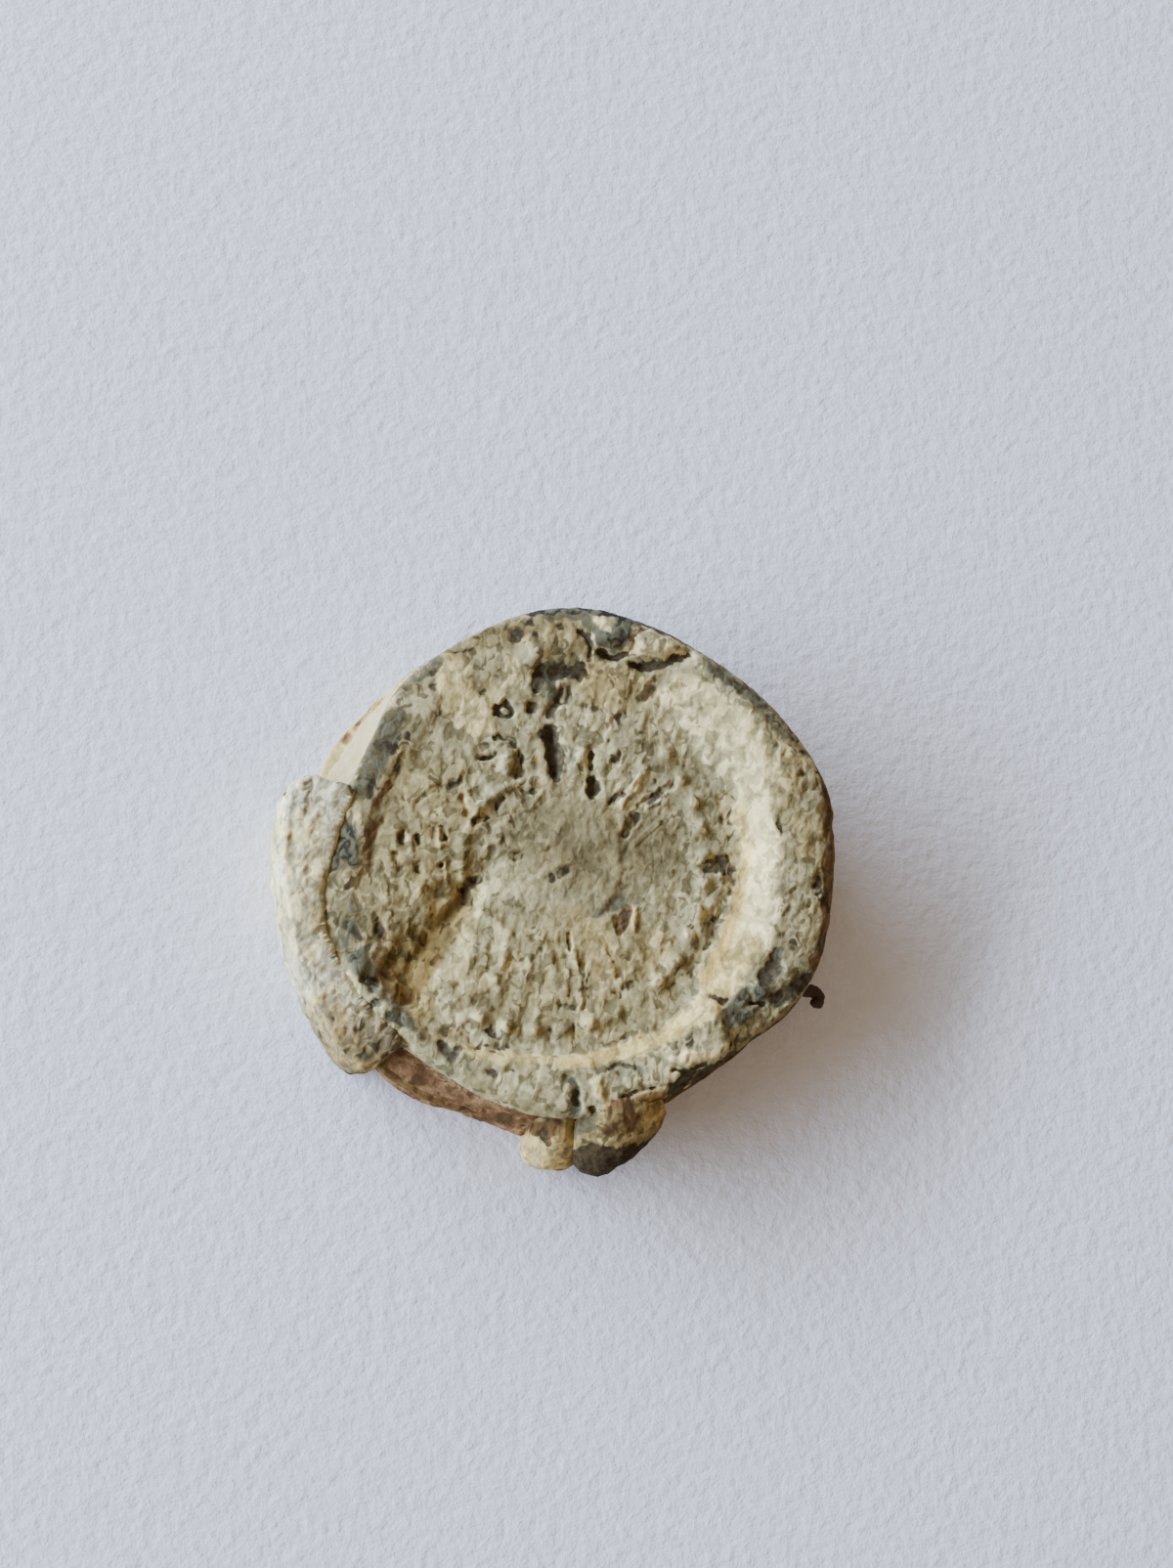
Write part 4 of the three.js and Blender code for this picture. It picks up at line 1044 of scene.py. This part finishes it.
class SealColours(bpy.types.PropertyGroup):
    """Colours of the seal and the paper."""

    crust_light: colour_property("Crust, light", "Light blobs of the lead's crust", (0.485, 0.42, 0.212))
    crust: colour_property("Crust", "Lead's crust between blobs and flecks", (0.315, 0.276, 0.137))
    crust_dark: colour_property("Crust, dark", "Dark flecks of the lead's crust", (0.16, 0.134, 0.06))
    crust_tan: colour_property("Crust, tan", "Warm smears in the lead's crust", (0.32, 0.252, 0.112))
    strap_light: colour_property("Strap, light", "Light blobs of the strap's crust", (0.83, 0.775, 0.51))
    strap: colour_property("Strap", "Strap's crust between blobs and flecks", (0.585, 0.54, 0.335))
    strap_dark: colour_property("Strap, dark", "Dark flecks of the strap's crust", (0.245, 0.222, 0.138))
    # bloom is also a painted highlight on the right slope, the valley's right bank and the beads
    bloom: colour_property("Bloom", "Cream corrosion on the slope", (0.71, 0.59, 0.275))
    bloom_shade: colour_property("Bloom, shade", "Darker cream corrosion", (0.46, 0.385, 0.17))
    bare_light: colour_property("Bare lead, light", "Light part of bare lead", (0.15, 0.148, 0.09))
    bare_dark: colour_property("Bare lead, dark", "Dark part of bare lead", (0.034, 0.033, 0.021))
    # rust is also painted shade on walls that face away from the light and where the seal meets the paper
    rust_light: colour_property("Rust, light", "Light part of rust-brown earth", (0.165, 0.105, 0.045))
    rust_dark: colour_property("Rust, dark", "Dark part of rust-brown earth", (0.09, 0.053, 0.022))
    # dimming and warmth also paint brown shade, as on the valley's left bank and the left of the floor
    dimming: colour_property("Dimming", "What dirt in the crust leaves of its colour", (0.45, 0.4, 0.34))
    warmth: colour_property("Warmth", "What warm earth in the crust leaves of its colour", (1.0, 0.86, 0.62))
    # soil is also painted shade: in the gap under the torn lip, on sides that face away from the light and
    # under the front stub
    soil: colour_property("Soil", "Dark soil in the hollows", (0.04, 0.031, 0.017))
    soil_light: colour_property("Soil, light", "Lighter soil in the hollows", (0.085, 0.068, 0.036))
    earth_light: colour_property("Earth, light", "Light part of the earth in the gap", (0.285, 0.172, 0.08))
    earth_dark: colour_property("Earth, dark", "Dark part of the earth in the gap", (0.125, 0.061, 0.027))
    pale_earth: colour_property("Earth, pale", "Earth with white crust over it", (0.5, 0.38, 0.21))
    thread: colour_property("Thread", "Dark fibre", (0.035, 0.02, 0.01))
    paper: colour_property("Paper", "Sheet under the seal", (0.77, 0.78, 0.82))


# Pieces


def finish_piece(piece, nodes, material):
    """Gives a piece its material and places it in the frame."""
    piece.data.materials.clear()
    piece.data.materials.append(material)
    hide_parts(*nodes)
    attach(piece, "root")


def shared_material(name, make):
    """The material of that name, made once."""
    return bpy.data.materials.get(name) or make()


def crust_material(context, name):
    """Corroded lead in one crust's tones, made once."""
    colours = context.scene.seal_colours
    tones = [getattr(colours, tone) for tone in CRUST_TONES[name]]
    return shared_material(name, lambda: lead_material(name, tones, colours))


def fan_directions(angles, turn):
    """Directions at each angle, turned up from the horizontal."""
    return np.stack(
        [
            math.cos(turn) * np.cos(angles),
            math.cos(turn) * np.sin(angles),
            np.full(len(angles), math.sin(turn)),
        ],
        axis=1,
    )


def fan_rows(solid, pivots, angles, turns):
    """Rows of a solid's surface round its edge, one for each turn up from the horizontal.

    They are found by rays that come in on the pivots. Returns the rows and the directions out of them.
    """
    rows = []
    out = []
    for turn in np.radians(turns):
        away = fan_directions(angles, turn)
        starts = pivots + OUT_FROM_EDGE * away
        rows.append(np.array([solid.hit(start, -way) for start, way in zip(starts, away)]))
        out.append(away)
    return rows, out


class SEAL_OT_front_leaf(bpy.types.Operator):
    """Build the struck front leaf"""

    bl_idname = "seal.front_leaf"
    bl_label = "Front Leaf"

    def execute(self, context):
        sizes = context.scene.seal_sizes
        solid = Solid("front_leaf")
        rivet = Solid("rivet")
        angles = angles_round(sizes.steps_round)
        bottom = solid.low[2]
        edge = solid.edge(angles, (bottom + 0.3, bottom + 0.5, bottom + 0.7))
        head_radius = rivet.high[0]
        hole = HOLE_SHARE * head_radius
        hole_edge = head_radius - SEAM_REACH
        seat = rivet.high[2] - SEAT_DEPTH
        rows = [
            ring_points(hole, angles, bottom),
            ring_points(hole, angles, seat),
            ring_points(hole_edge, angles, seat),
        ]
        first_top = len(rows)
        for share in np.linspace(0, 1, 104):
            radius = hole_edge * (1 - share) + (edge - EDGE_INSET) * share
            row = ring_points(radius, angles, 0.0)
            # beside the head the floor is taken from just outside the gap round it
            probes = ring_points(np.maximum(radius, head_radius + FLOOR_OFF_HEAD), angles, OVER)
            probes += wander(probes) * soft_step(np.array(share), 0.0, 0.1)
            row[:, 2] = [solid.hit(probe, (0, 0, -1)).z for probe in probes]
            row[:, 2] -= SEAM_DEPTH * (1 - soft_step(radius, hole_edge, head_radius + 0.5 * SEAM_REACH))
            rows.append(row)
        out = [np.tile([0.0, 0.0, 1.0], (len(angles), 1))] * (len(rows) - first_top)
        pivots = ring_points(edge - EDGE_INSET, angles, bottom + 0.75)
        fan, fan_out = fan_rows(solid, pivots, angles, np.linspace(84, -50, 30))
        rows += fan
        out += fan_out
        sculpted = slice(first_top, len(rows))
        foot = radius_of(rows[-1])
        for step_in in (0.12, 0.3, 0.7, 1.8, 4.0):
            rows.append(ring_points(foot - step_in, angles, bottom))
        rows.append(rows[0])
        grid = np.stack(rows, axis=1)
        top = blur(grid[:, sculpted], round_passes=14, along_passes=5)
        out = blur(np.stack(out, axis=1), round_passes=0, along_passes=8).reshape(-1, 3)

        points = top.reshape(-1, 3)
        height, stains = struck_face(points, sizes)
        wall = 1 - out[:, 2]
        height *= 1 - 0.35 * np.clip(wall, 0, 1)
        moved = points + height[:, None] * out
        over_floor = np.maximum(moved[:, 2] - sizes.floor_height, 0)
        moved[:, 2] -= RIM_WEAR * over_floor * path_cover(moved[:, 0], moved[:, 1], WORN_RIM)
        moved[:, 2] = np.maximum(moved[:, 2], bottom)
        grid[:, sculpted] = moved.reshape(top.shape)
        piece = stained_spin("front_leaf_worn", grid, sculpted, stains)
        finish_piece(piece, ["front_leaf"], crust_material(context, "lead_crust"))
        return {"FINISHED"}


class SEAL_OT_rivet(bpy.types.Operator):
    """Build the hammered rivet"""

    bl_idname = "seal.rivet"
    bl_label = "Rivet"

    def execute(self, context):
        sizes = context.scene.seal_sizes
        solid = Solid("rivet")
        leaf = Solid("front_leaf")
        angles = angles_round(sizes.steps_round // 2)
        head_radius = solid.high[0]
        shank_radius = SHANK_SHARE * head_radius
        seat = solid.high[2] - SEAT_DEPTH
        crown = solid.high[2] - 0.02
        probes = ring_points(head_radius + FLOOR_OFF_HEAD, angles, OVER)
        floor = np.array([leaf.hit(probe, (0, 0, -1)).z for probe in probes])
        rim = head_radius + SEAM_REACH
        rows = []
        for radius in np.linspace(0, rim, 46):
            share = soft_step(np.array(radius / head_radius), 0.35, 1.0)
            row = ring_points(radius, angles, crown + (floor - crown) * share)
            row[:, 2] -= SEAM_DEPTH * soft_step(np.array(radius), head_radius - 0.5 * SEAM_REACH, rim)
            rows.append(row)
        sculpted = slice(0, len(rows))
        rows.append(ring_points(rim, angles, seat))
        rows.append(ring_points(shank_radius, angles, seat))
        rows.append(ring_points(shank_radius, angles, solid.low[2]))
        rows.append(ring_points(0.0, angles, solid.low[2]))
        grid = np.stack(rows, axis=1)
        top = grid[:, sculpted]
        height, stains = struck_face(top.reshape(-1, 3), sizes)
        top[..., 2] += height.reshape(top.shape[:2])
        top[:, 0, 2] = top[:, 0, 2].mean()
        piece = stained_spin("rivet_worn", grid, sculpted, stains)
        finish_piece(piece, ["rivet"], crust_material(context, "lead_crust"))
        return {"FINISHED"}


class SEAL_OT_back_leaf(bpy.types.Operator):
    """Build the back leaf"""

    bl_idname = "seal.back_leaf"
    bl_label = "Back Leaf"

    def execute(self, context):
        sizes = context.scene.seal_sizes
        solid = Solid("back_leaf")
        angles = angles_round(int(0.75 * sizes.steps_round))
        top = solid.high[2]
        edge = solid.edge(angles, (0.6 * top, 0.7 * top))
        inner_edge = edge - EDGE_INSET
        rows = [ring_points(share * inner_edge, angles, 0.0) for share in np.linspace(0, 1, 64)]
        out = [np.tile([0.0, 0.0, -1.0], (len(angles), 1))] * len(rows)
        pivots = ring_points(inner_edge, angles, top / 2)
        fan, fan_out = fan_rows(solid, pivots, angles, np.linspace(-80, 38, 26))
        rows += fan
        out = np.stack(out + fan_out, axis=1).reshape(-1, 3)
        sculpted = slice(0, len(rows))
        for share in (0.97, 0.9, 0.6, 0.0):
            rows.append(ring_points(share * inner_edge, angles, top))
        grid = np.stack(rows, axis=1)
        around_middle = slice(1, sculpted.stop)
        grid[:, around_middle] = blur(grid[:, around_middle], round_passes=16, along_passes=6)
        points = grid[:, sculpted].reshape(-1, 3)
        bumps, groove = grain(points, seed=61)
        swell = layered_noise(points, cell=3.0, layers=3, seed=65)
        lump = layered_noise(points, cell=1.0, layers=2, seed=68)
        struck_ring = np.exp(-(((radius_of(points) - 6.4) / 0.3) ** 2))
        relief = 0.08 * swell + 0.04 * lump + 0.8 * sizes.grain_height * bumps
        relief -= 0.06 * struck_ring
        under = np.clip(-out[:, 2], 0, 1)
        # what faces the paper is only worn away, so the leaf still rests on its flat back
        relief = np.where(under > 0.6, np.minimum(relief - 0.03, 0), relief)
        moved = points + relief[:, None] * out
        moved[:, 2] = np.maximum(moved[:, 2], 0)
        grid[:, sculpted] = moved.reshape(grid[:, sculpted].shape)
        grid[:, 0] = [0.0, 0.0, 0.02]
        stains = no_stains(len(points))
        add_stains(stains, soil=0.6 * groove)
        add_stains(stains, soil=0.35 * soft_step(-lump, 0.1, 0.8))
        add_stains(stains, bloom=0.5 * soft_step(swell, 0.1, 0.6) * under)
        bare_patches = soft_step(layered_noise(points, cell=2.2, layers=3, seed=72), 0.42, 0.6)
        add_stains(stains, bare=0.7 * bare_patches)
        angle = degrees_round(points)
        lower_left = soft_band(angle, 205, 228, 262, 272) * (1 - under)
        add_stains(stains, rust=0.7 * lower_left, warm=0.8 * lower_left)
        # painted shade: the lower right side, away from the light where the leaf meets the paper, gets
        # rust-brown earth and a darker tone
        lower_right = soft_step(angle, 280, 295) * (1 - under)
        add_stains(stains, rust=0.85 * lower_right, shade=0.3 * lower_right)
        upper_left = soft_band(angle, 128, 140, 170, 185) * (1 - under)
        add_stains(stains, bloom=0.9 * upper_left, shade=0.2 * upper_left)
        add_stains(stains, warm=upper_left * (0.5 + 0.4 * soft_step(lump, -0.3, 0.5)))
        add_stains(stains, rust=0.42 * upper_left * soft_step(swell, -0.2, 0.3))
        piece = stained_spin("back_leaf_worn", grid, sculpted, stains)
        finish_piece(piece, ["back_leaf"], crust_material(context, "lead_crust"))
        return {"FINISHED"}


class SEAL_OT_gap_earth(bpy.types.Operator):
    """Build the earth between the leaves"""

    bl_idname = "seal.gap_earth"
    bl_label = "Earth in the Gap"

    def execute(self, context):
        sizes = context.scene.seal_sizes
        front = Solid("front_leaf")
        back = Solid("back_leaf")
        earth = Solid("gap_earth")
        angles = angles_round(sizes.steps_round)
        bottom, top = earth.low[2], earth.high[2]
        front_edge = front.edge(angles, (top + 0.3, top + 0.5))
        back_edge = back.edge(angles, (0.6 * bottom, 0.7 * bottom))
        hole = HOLE_SHARE * Solid("rivet").high[0]
        rows = [ring_points(hole, angles, top), ring_points(front_edge - 1.2, angles, top)]
        first_wall = len(rows)
        # the wall's foot runs down over part of the back leaf's side
        low = 0.42 * bottom
        # past the back leaf's corner only where that leaf stands out from under the front one
        foot = np.minimum(np.maximum(back_edge + 0.06, front_edge - 0.9), front_edge + 1.5)
        lower_right = soft_step(np.degrees(angles), 275, 292)
        foot = foot * (1 - lower_right) + np.minimum(foot, front_edge - 0.3) * lower_right
        # the wall's top is tucked into the front leaf, a little back from that leaf's edge
        tucked_in = 0.12
        set_back = 0.16
        for share in np.linspace(0, 1, 30):
            height = top + tucked_in + (low - top - tucked_in) * share
            lean = soft_step(np.array(share), 0.0, 1.0)
            radius = (front_edge - set_back) * (1 - lean) + foot * lean
            rows.append(ring_points(radius, angles, height))
        sculpted = slice(first_wall, len(rows))
        rows.append(ring_points(back_edge - 1.0, angles, low))
        rows.append(ring_points(back_edge - 1.2, angles, bottom))
        rows.append(ring_points(hole, angles, bottom))
        rows.append(rows[0])
        grid = np.stack(rows, axis=1)
        wall = blur(grid[:, sculpted], round_passes=16, along_passes=2)
        points = wall.reshape(-1, 3)
        bumps, groove = grain(points, seed=81)
        swell = layered_noise(points, cell=1.8, layers=3, seed=85)
        relief = 0.1 * swell + 0.06 * bumps
        away = points * [1, 1, 0]
        away /= np.linalg.norm(away, axis=1, keepdims=True)
        grid[:, sculpted] = (points + relief[:, None] * away).reshape(wall.shape)
        stains = no_stains(len(points))
        angle = degrees_round(points) + 9 * swell
        pale = soft_band(angle, 112, 142, 168, 192)
        add_stains(stains, bloom=0.9 * pale)
        upper_edge = soft_step(points[:, 2], 0.55 * top, 0.9 * top)
        add_stains(stains, bloom=0.5 * upper_edge * soft_step(-swell, -0.3, 0.4))
        add_stains(stains, soil=0.5 * groove * (1 - 0.8 * pale))
        add_stains(stains, rust=0.8 * soft_step(swell, 0.12, 0.4) * (1 - 0.8 * pale))
        # painted shade: the side that faces away from the light gets dark soil
        shaded_side = soft_step(angle, 280, 305) + (1 - soft_step(angle, 75, 120))
        add_stains(stains, soil=0.75 * np.clip(shaded_side, 0, 1))
        piece = stained_spin("gap_earth_packed", grid, sculpted, stains)
        material = shared_material("dry_earth", lambda: earth_material(context.scene.seal_colours))
        finish_piece(piece, ["gap_earth"], material)
        return {"FINISHED"}


def sculpt_copy(piece, relief_height, seed, reach_in):
    """Pushes a remeshed piece's inner side onto the leaves by reach_in(points), then roughens it.

    Returns its points before it is roughened, its hollows and its noise.
    """
    points = read_points(piece.data)
    inward = points * [-1, -1, 0]
    inward /= np.linalg.norm(inward, axis=1, keepdims=True)
    facing_in = soft_step((read_normals(piece.data) * inward).sum(axis=1), 0.1, 0.6)
    write_points(piece.data, points + (reach_in(points) * facing_in)[:, None] * inward)
    smooth_out(piece, 5)
    points = read_points(piece.data)
    bumps, groove = grain(points, seed)
    lump = layered_noise(points, cell=0.9, layers=3, seed=seed + 5)
    height = 0.07 * lump + relief_height * bumps
    moved = points + height[:, None] * read_normals(piece.data)
    moved[:, 2] = np.maximum(moved[:, 2], 0.01)
    write_points(piece.data, moved)
    return points, groove, lump


class SEAL_OT_fold_strap(bpy.types.Operator):
    """Build the folded strap"""

    bl_idname = "seal.fold_strap"
    bl_label = "Folded Strap"

    def execute(self, context):
        sizes = context.scene.seal_sizes
        piece = remeshed_copy("fold_strap", "fold_strap_worn", voxel=0.06, smoothing=8)
        points, groove, lump = sculpt_copy(
            piece,
            relief_height=1.4 * sizes.grain_height,
            seed=111,
            reach_in=lambda at: 0.4 * soft_step(at[:, 1], -7.1, -6.3),
        )
        y = points[:, 1]
        stains = no_stains(len(points))
        middle = soft_band(y, -4.6, -2.6, 0.9, 2.1)
        add_stains(stains, soil=0.35 * groove * (1 - 0.7 * middle), bloom=0.25 + 0.3 * middle)
        low_end = 1 - soft_step(y, -6.4, -3.8)
        add_stains(stains, shade=low_end, warm=0.15 * low_end)
        add_stains(stains, bare=0.45 * low_end * soft_step(lump, -0.2, 0.4))
        add_stains(stains, bloom=0.4 * low_end * soft_step(radius_of(points), 10.1, 10.6))
        top_end = soft_step(y, 1.2, 2.6)
        add_stains(stains, shade=0.35 * top_end, soil=0.45 * top_end * soft_step(lump, 0.0, 0.5))
        add_stains(stains, bare=0.95 * (1 - soft_step(y + 0.6 * points[:, 2], -7.2, -6.6)))
        write_stains(piece.data, stains)
        finish_piece(piece, ["fold_strap"], crust_material(context, "strap_crust"))
        return {"FINISHED"}


def raise_inner_end(points, reach, rise):
    """Lifts the end of a stub that meets the leaves, most at its top."""
    low, high = points.min(axis=0), points.max(axis=0)
    inner = soft_step(points[:, 1], high[1] - reach, high[1])
    points[:, 2] += rise * inner * (points[:, 2] - low[2]) / (high[2] - low[2])


class SEAL_OT_stubs(bpy.types.Operator):
    """Build the two cut pour stubs"""

    bl_idname = "seal.stubs"
    bl_label = "Pour Stubs"

    def execute(self, context):
        sizes = context.scene.seal_sizes
        front = remeshed_copy("front_stub", "front_stub_worn", voxel=0.045, smoothing=10)
        points = read_points(front.data)
        # its inner end raised into the rim's broken edge, and its right corner worn round
        raise_inner_end(points, reach=1.6, rise=0.7)
        right = soft_step(points[:, 0], 0.8, points[:, 0].max())
        points[:, 1] += 0.55 * right * soft_step(-points[:, 1], 9.6, 11.2)
        points[:, 0] += 0.6 * right * soft_step(points[:, 1], -10.2, -8.8)
        write_points(front.data, points)
        points, groove, _ = sculpt_copy(
            front, relief_height=0.6 * sizes.grain_height, seed=131, reach_in=lambda at: 0.7
        )
        x = points[:, 0]
        stains = no_stains(len(points))
        reach = radius_of(points) + 0.25 * layered_noise(points, cell=0.6, layers=2, seed=133)
        slope = 1 - soft_step(reach, 9.7, 10.1)
        # painted shade: the stub's outer end and its underside, which face away from the light, get soil and
        # a darker tone
        shaded_band = soft_step(reach, 10.15, 10.45) + (1 - soft_step(points[:, 2], 1.5, 1.9))
        shaded_band = np.clip(shaded_band, 0, 1) * (1 - slope)
        brown = soft_step(x, 0.3, 0.9) * (1 - 0.6 * soft_step(x, 1.6, 2.2))
        add_stains(stains, rust=0.6 * slope * brown, bloom=0.6 * slope * soft_step(x, 1.6, 2.2))
        add_stains(stains, warm=0.6, bare=0.6 * slope * (1 - soft_step(x, 0.2, 0.8)))
        add_stains(stains, shade=0.45 + 0.25 * soft_step(x, 1.6, 2.4), soil=0.85 * shaded_band)
        add_stains(stains, shade=0.6 * shaded_band, soil=0.4 * groove)
        write_stains(front.data, stains)
        finish_piece(front, ["front_stub"], crust_material(context, "lead_crust"))

        back = remeshed_copy("back_stub", "back_stub_worn", voxel=0.04, smoothing=8)
        # its inner end raised too, and the whole stub drawn wider to the right
        points = read_points(back.data)
        raise_inner_end(points, reach=0.9, rise=0.6)
        left = points[:, 0].min()
        points[:, 0] = left + 1.5 * (points[:, 0] - left)
        write_points(back.data, points)
        points, groove, lump = sculpt_copy(
            back, relief_height=0.6 * sizes.grain_height, seed=151, reach_in=lambda at: 0.8
        )
        x, y = points[:, 0], points[:, 1]
        stains = no_stains(len(points))
        add_stains(stains, bloom=0.6 + 0.2 * lump, warm=0.75)
        upper = soft_step(y, -10.1, -9.7) * (1 - 0.8 * soft_step(x, -0.9, -0.4))
        add_stains(stains, rust=0.66 * upper, shade=0.3 + 0.4 * upper, soil=0.35 * groove)
        crease = path_cover(x, y, [(-1.8, -9.3, 0.12), (-1.4, -9.75, 0.2), (-0.7, -9.6, 0.1)])
        crease = np.maximum(crease, path_cover(x, y, [(-1.4, -9.75, 0.16), (-1.15, -10.2, 0.1)]))
        add_stains(stains, rust=0.9 * crease, soil=0.6 * crease)
        foot = 1 - soft_step(y + 0.5 * points[:, 2], -10.6, -10.3)
        add_stains(stains, bare=0.7 * foot * soft_step(x, -1.0, -0.5))
        write_stains(back.data, stains)
        finish_piece(back, ["back_stub"], crust_material(context, "strap_crust"))
        return {"FINISHED"}


class SEAL_OT_thread(bpy.types.Operator):
    """Build the thread's end"""

    bl_idname = "seal.thread"
    bl_label = "Thread End"

    def execute(self, context):
        piece = remeshed_copy("thread_stub", "thread_end", voxel=0.03, smoothing=3)
        points = read_points(piece.data)
        normals = read_normals(piece.data)
        fray = 0.13 + 0.05 * smooth_noise(points, cell=0.3, seed=171)
        fray += 0.02 * smooth_noise(points, cell=0.12, seed=172)
        points += fray[:, None] * normals
        start = points[np.argmin(radius_of(points))].copy()
        write_points(piece.data, start + (points - start) * [0.8, 0.8, 1])
        material = thread_material(context.scene.seal_colours)
        finish_piece(piece, ["thread_stub"], material)
        return {"FINISHED"}


class SEAL_OT_stage(bpy.types.Operator):
    """Build the paper, the light and the camera"""

    bl_idname = "seal.stage"
    bl_label = "Stage"

    def execute(self, context):
        scene = context.scene
        pick_none()
        bpy.ops.mesh.primitive_plane_add(size=0.6, location=(0, 0, 0))
        paper = context.active_object
        paper.name = "paper"
        paper.data.materials.append(paper_material(scene.seal_colours))

        # wide, low window to the left, a little above the seal in the picture
        turn = math.radians(161.5)
        rise = math.radians(19)
        reach = 0.44
        level = reach * math.cos(rise)
        window = Vector((level * math.cos(turn), level * math.sin(turn), reach * math.sin(rise)))
        bpy.ops.object.light_add(type="AREA", location=window)
        light = context.active_object
        light.name = "window_light"
        light.rotation_euler = window.to_track_quat("Z", "Y").to_euler()
        light.data.shape = "ELLIPSE"
        light.data.size = 1.0
        light.data.size_y = 0.1
        light.data.energy = 14.2
        light.data.color = (0.63, 0.755, 1.0)

        world = bpy.data.worlds.new("room")
        world.use_nodes = True
        room = world.node_tree.nodes["Background"]
        room.inputs["Color"].default_value = (1.0, 0.77, 0.56, 1.0)
        room.inputs["Strength"].default_value = 0.43
        scene.world = world

        # camera that looks down from a little to the lower left
        tilt = math.radians(15)
        bearing = math.radians(210)
        lean = math.sin(tilt)
        back = Vector((lean * math.cos(bearing), lean * math.sin(bearing), math.cos(tilt)))
        right = Vector((0, 1, 0)).cross(back).normalized()
        up = back.cross(right)
        # the sensor's long side in millimetres, and then lengths in pixels of the picture
        sensor = 36.0
        focal = 2317.0
        picture_height = 1604.0
        pixels_per_mm = 27.2
        # from the middle of the picture to the seal's axis
        seal_left = 19.7
        seal_below = 89.7
        bpy.ops.object.camera_add()
        camera = context.active_object
        camera.name = "camera"
        place = Matrix((right, up, back)).transposed().to_4x4()
        place.translation = back * (focal / pixels_per_mm) * MM
        camera.matrix_world = place
        camera.data.sensor_width = sensor
        camera.data.lens = sensor * focal / picture_height
        camera.data.shift_x = seal_left / picture_height
        camera.data.shift_y = seal_below / picture_height
        camera.data.clip_start = 0.001
        camera.data.clip_end = 10.0
        scene.camera = camera
        return {"FINISHED"}


class SEAL_PT_panel(bpy.types.Panel):
    """Sizes, colours and pieces of the lead seal"""

    bl_idname = "SEAL_PT_panel"
    bl_label = "Lead Seal"
    bl_space_type = "VIEW_3D"
    bl_region_type = "UI"
    bl_category = "Lead Seal"

    def draw(self, context):
        layout = self.layout
        for group in (context.scene.seal_sizes, context.scene.seal_colours):
            box = layout.box()
            for name in group.__annotations__:
                box.prop(group, name)
        for operator in OPERATORS:
            layout.operator(operator.bl_idname)


OPERATORS = (
    SEAL_OT_back_leaf,
    SEAL_OT_gap_earth,
    SEAL_OT_front_leaf,
    SEAL_OT_rivet,
    SEAL_OT_fold_strap,
    SEAL_OT_stubs,
    SEAL_OT_thread,
    SEAL_OT_stage,
)
CLASSES = (SealSizes, SealColours, *OPERATORS, SEAL_PT_panel)


def register():
    for item in CLASSES:
        bpy.utils.register_class(item)
    bpy.types.Scene.seal_sizes = PointerProperty(type=SealSizes)
    bpy.types.Scene.seal_colours = PointerProperty(type=SealColours)


def unregister():
    del bpy.types.Scene.seal_colours
    del bpy.types.Scene.seal_sizes
    for item in reversed(CLASSES):
        bpy.utils.unregister_class(item)


def main():
    """Builds every piece and the stage."""
    register()
    bpy.ops.seal.back_leaf()
    bpy.ops.seal.gap_earth()
    bpy.ops.seal.front_leaf()
    bpy.ops.seal.rivet()
    bpy.ops.seal.fold_strap()
    bpy.ops.seal.stubs()
    bpy.ops.seal.thread()
    bpy.ops.seal.stage()


if __name__ == "__main__":
    main()
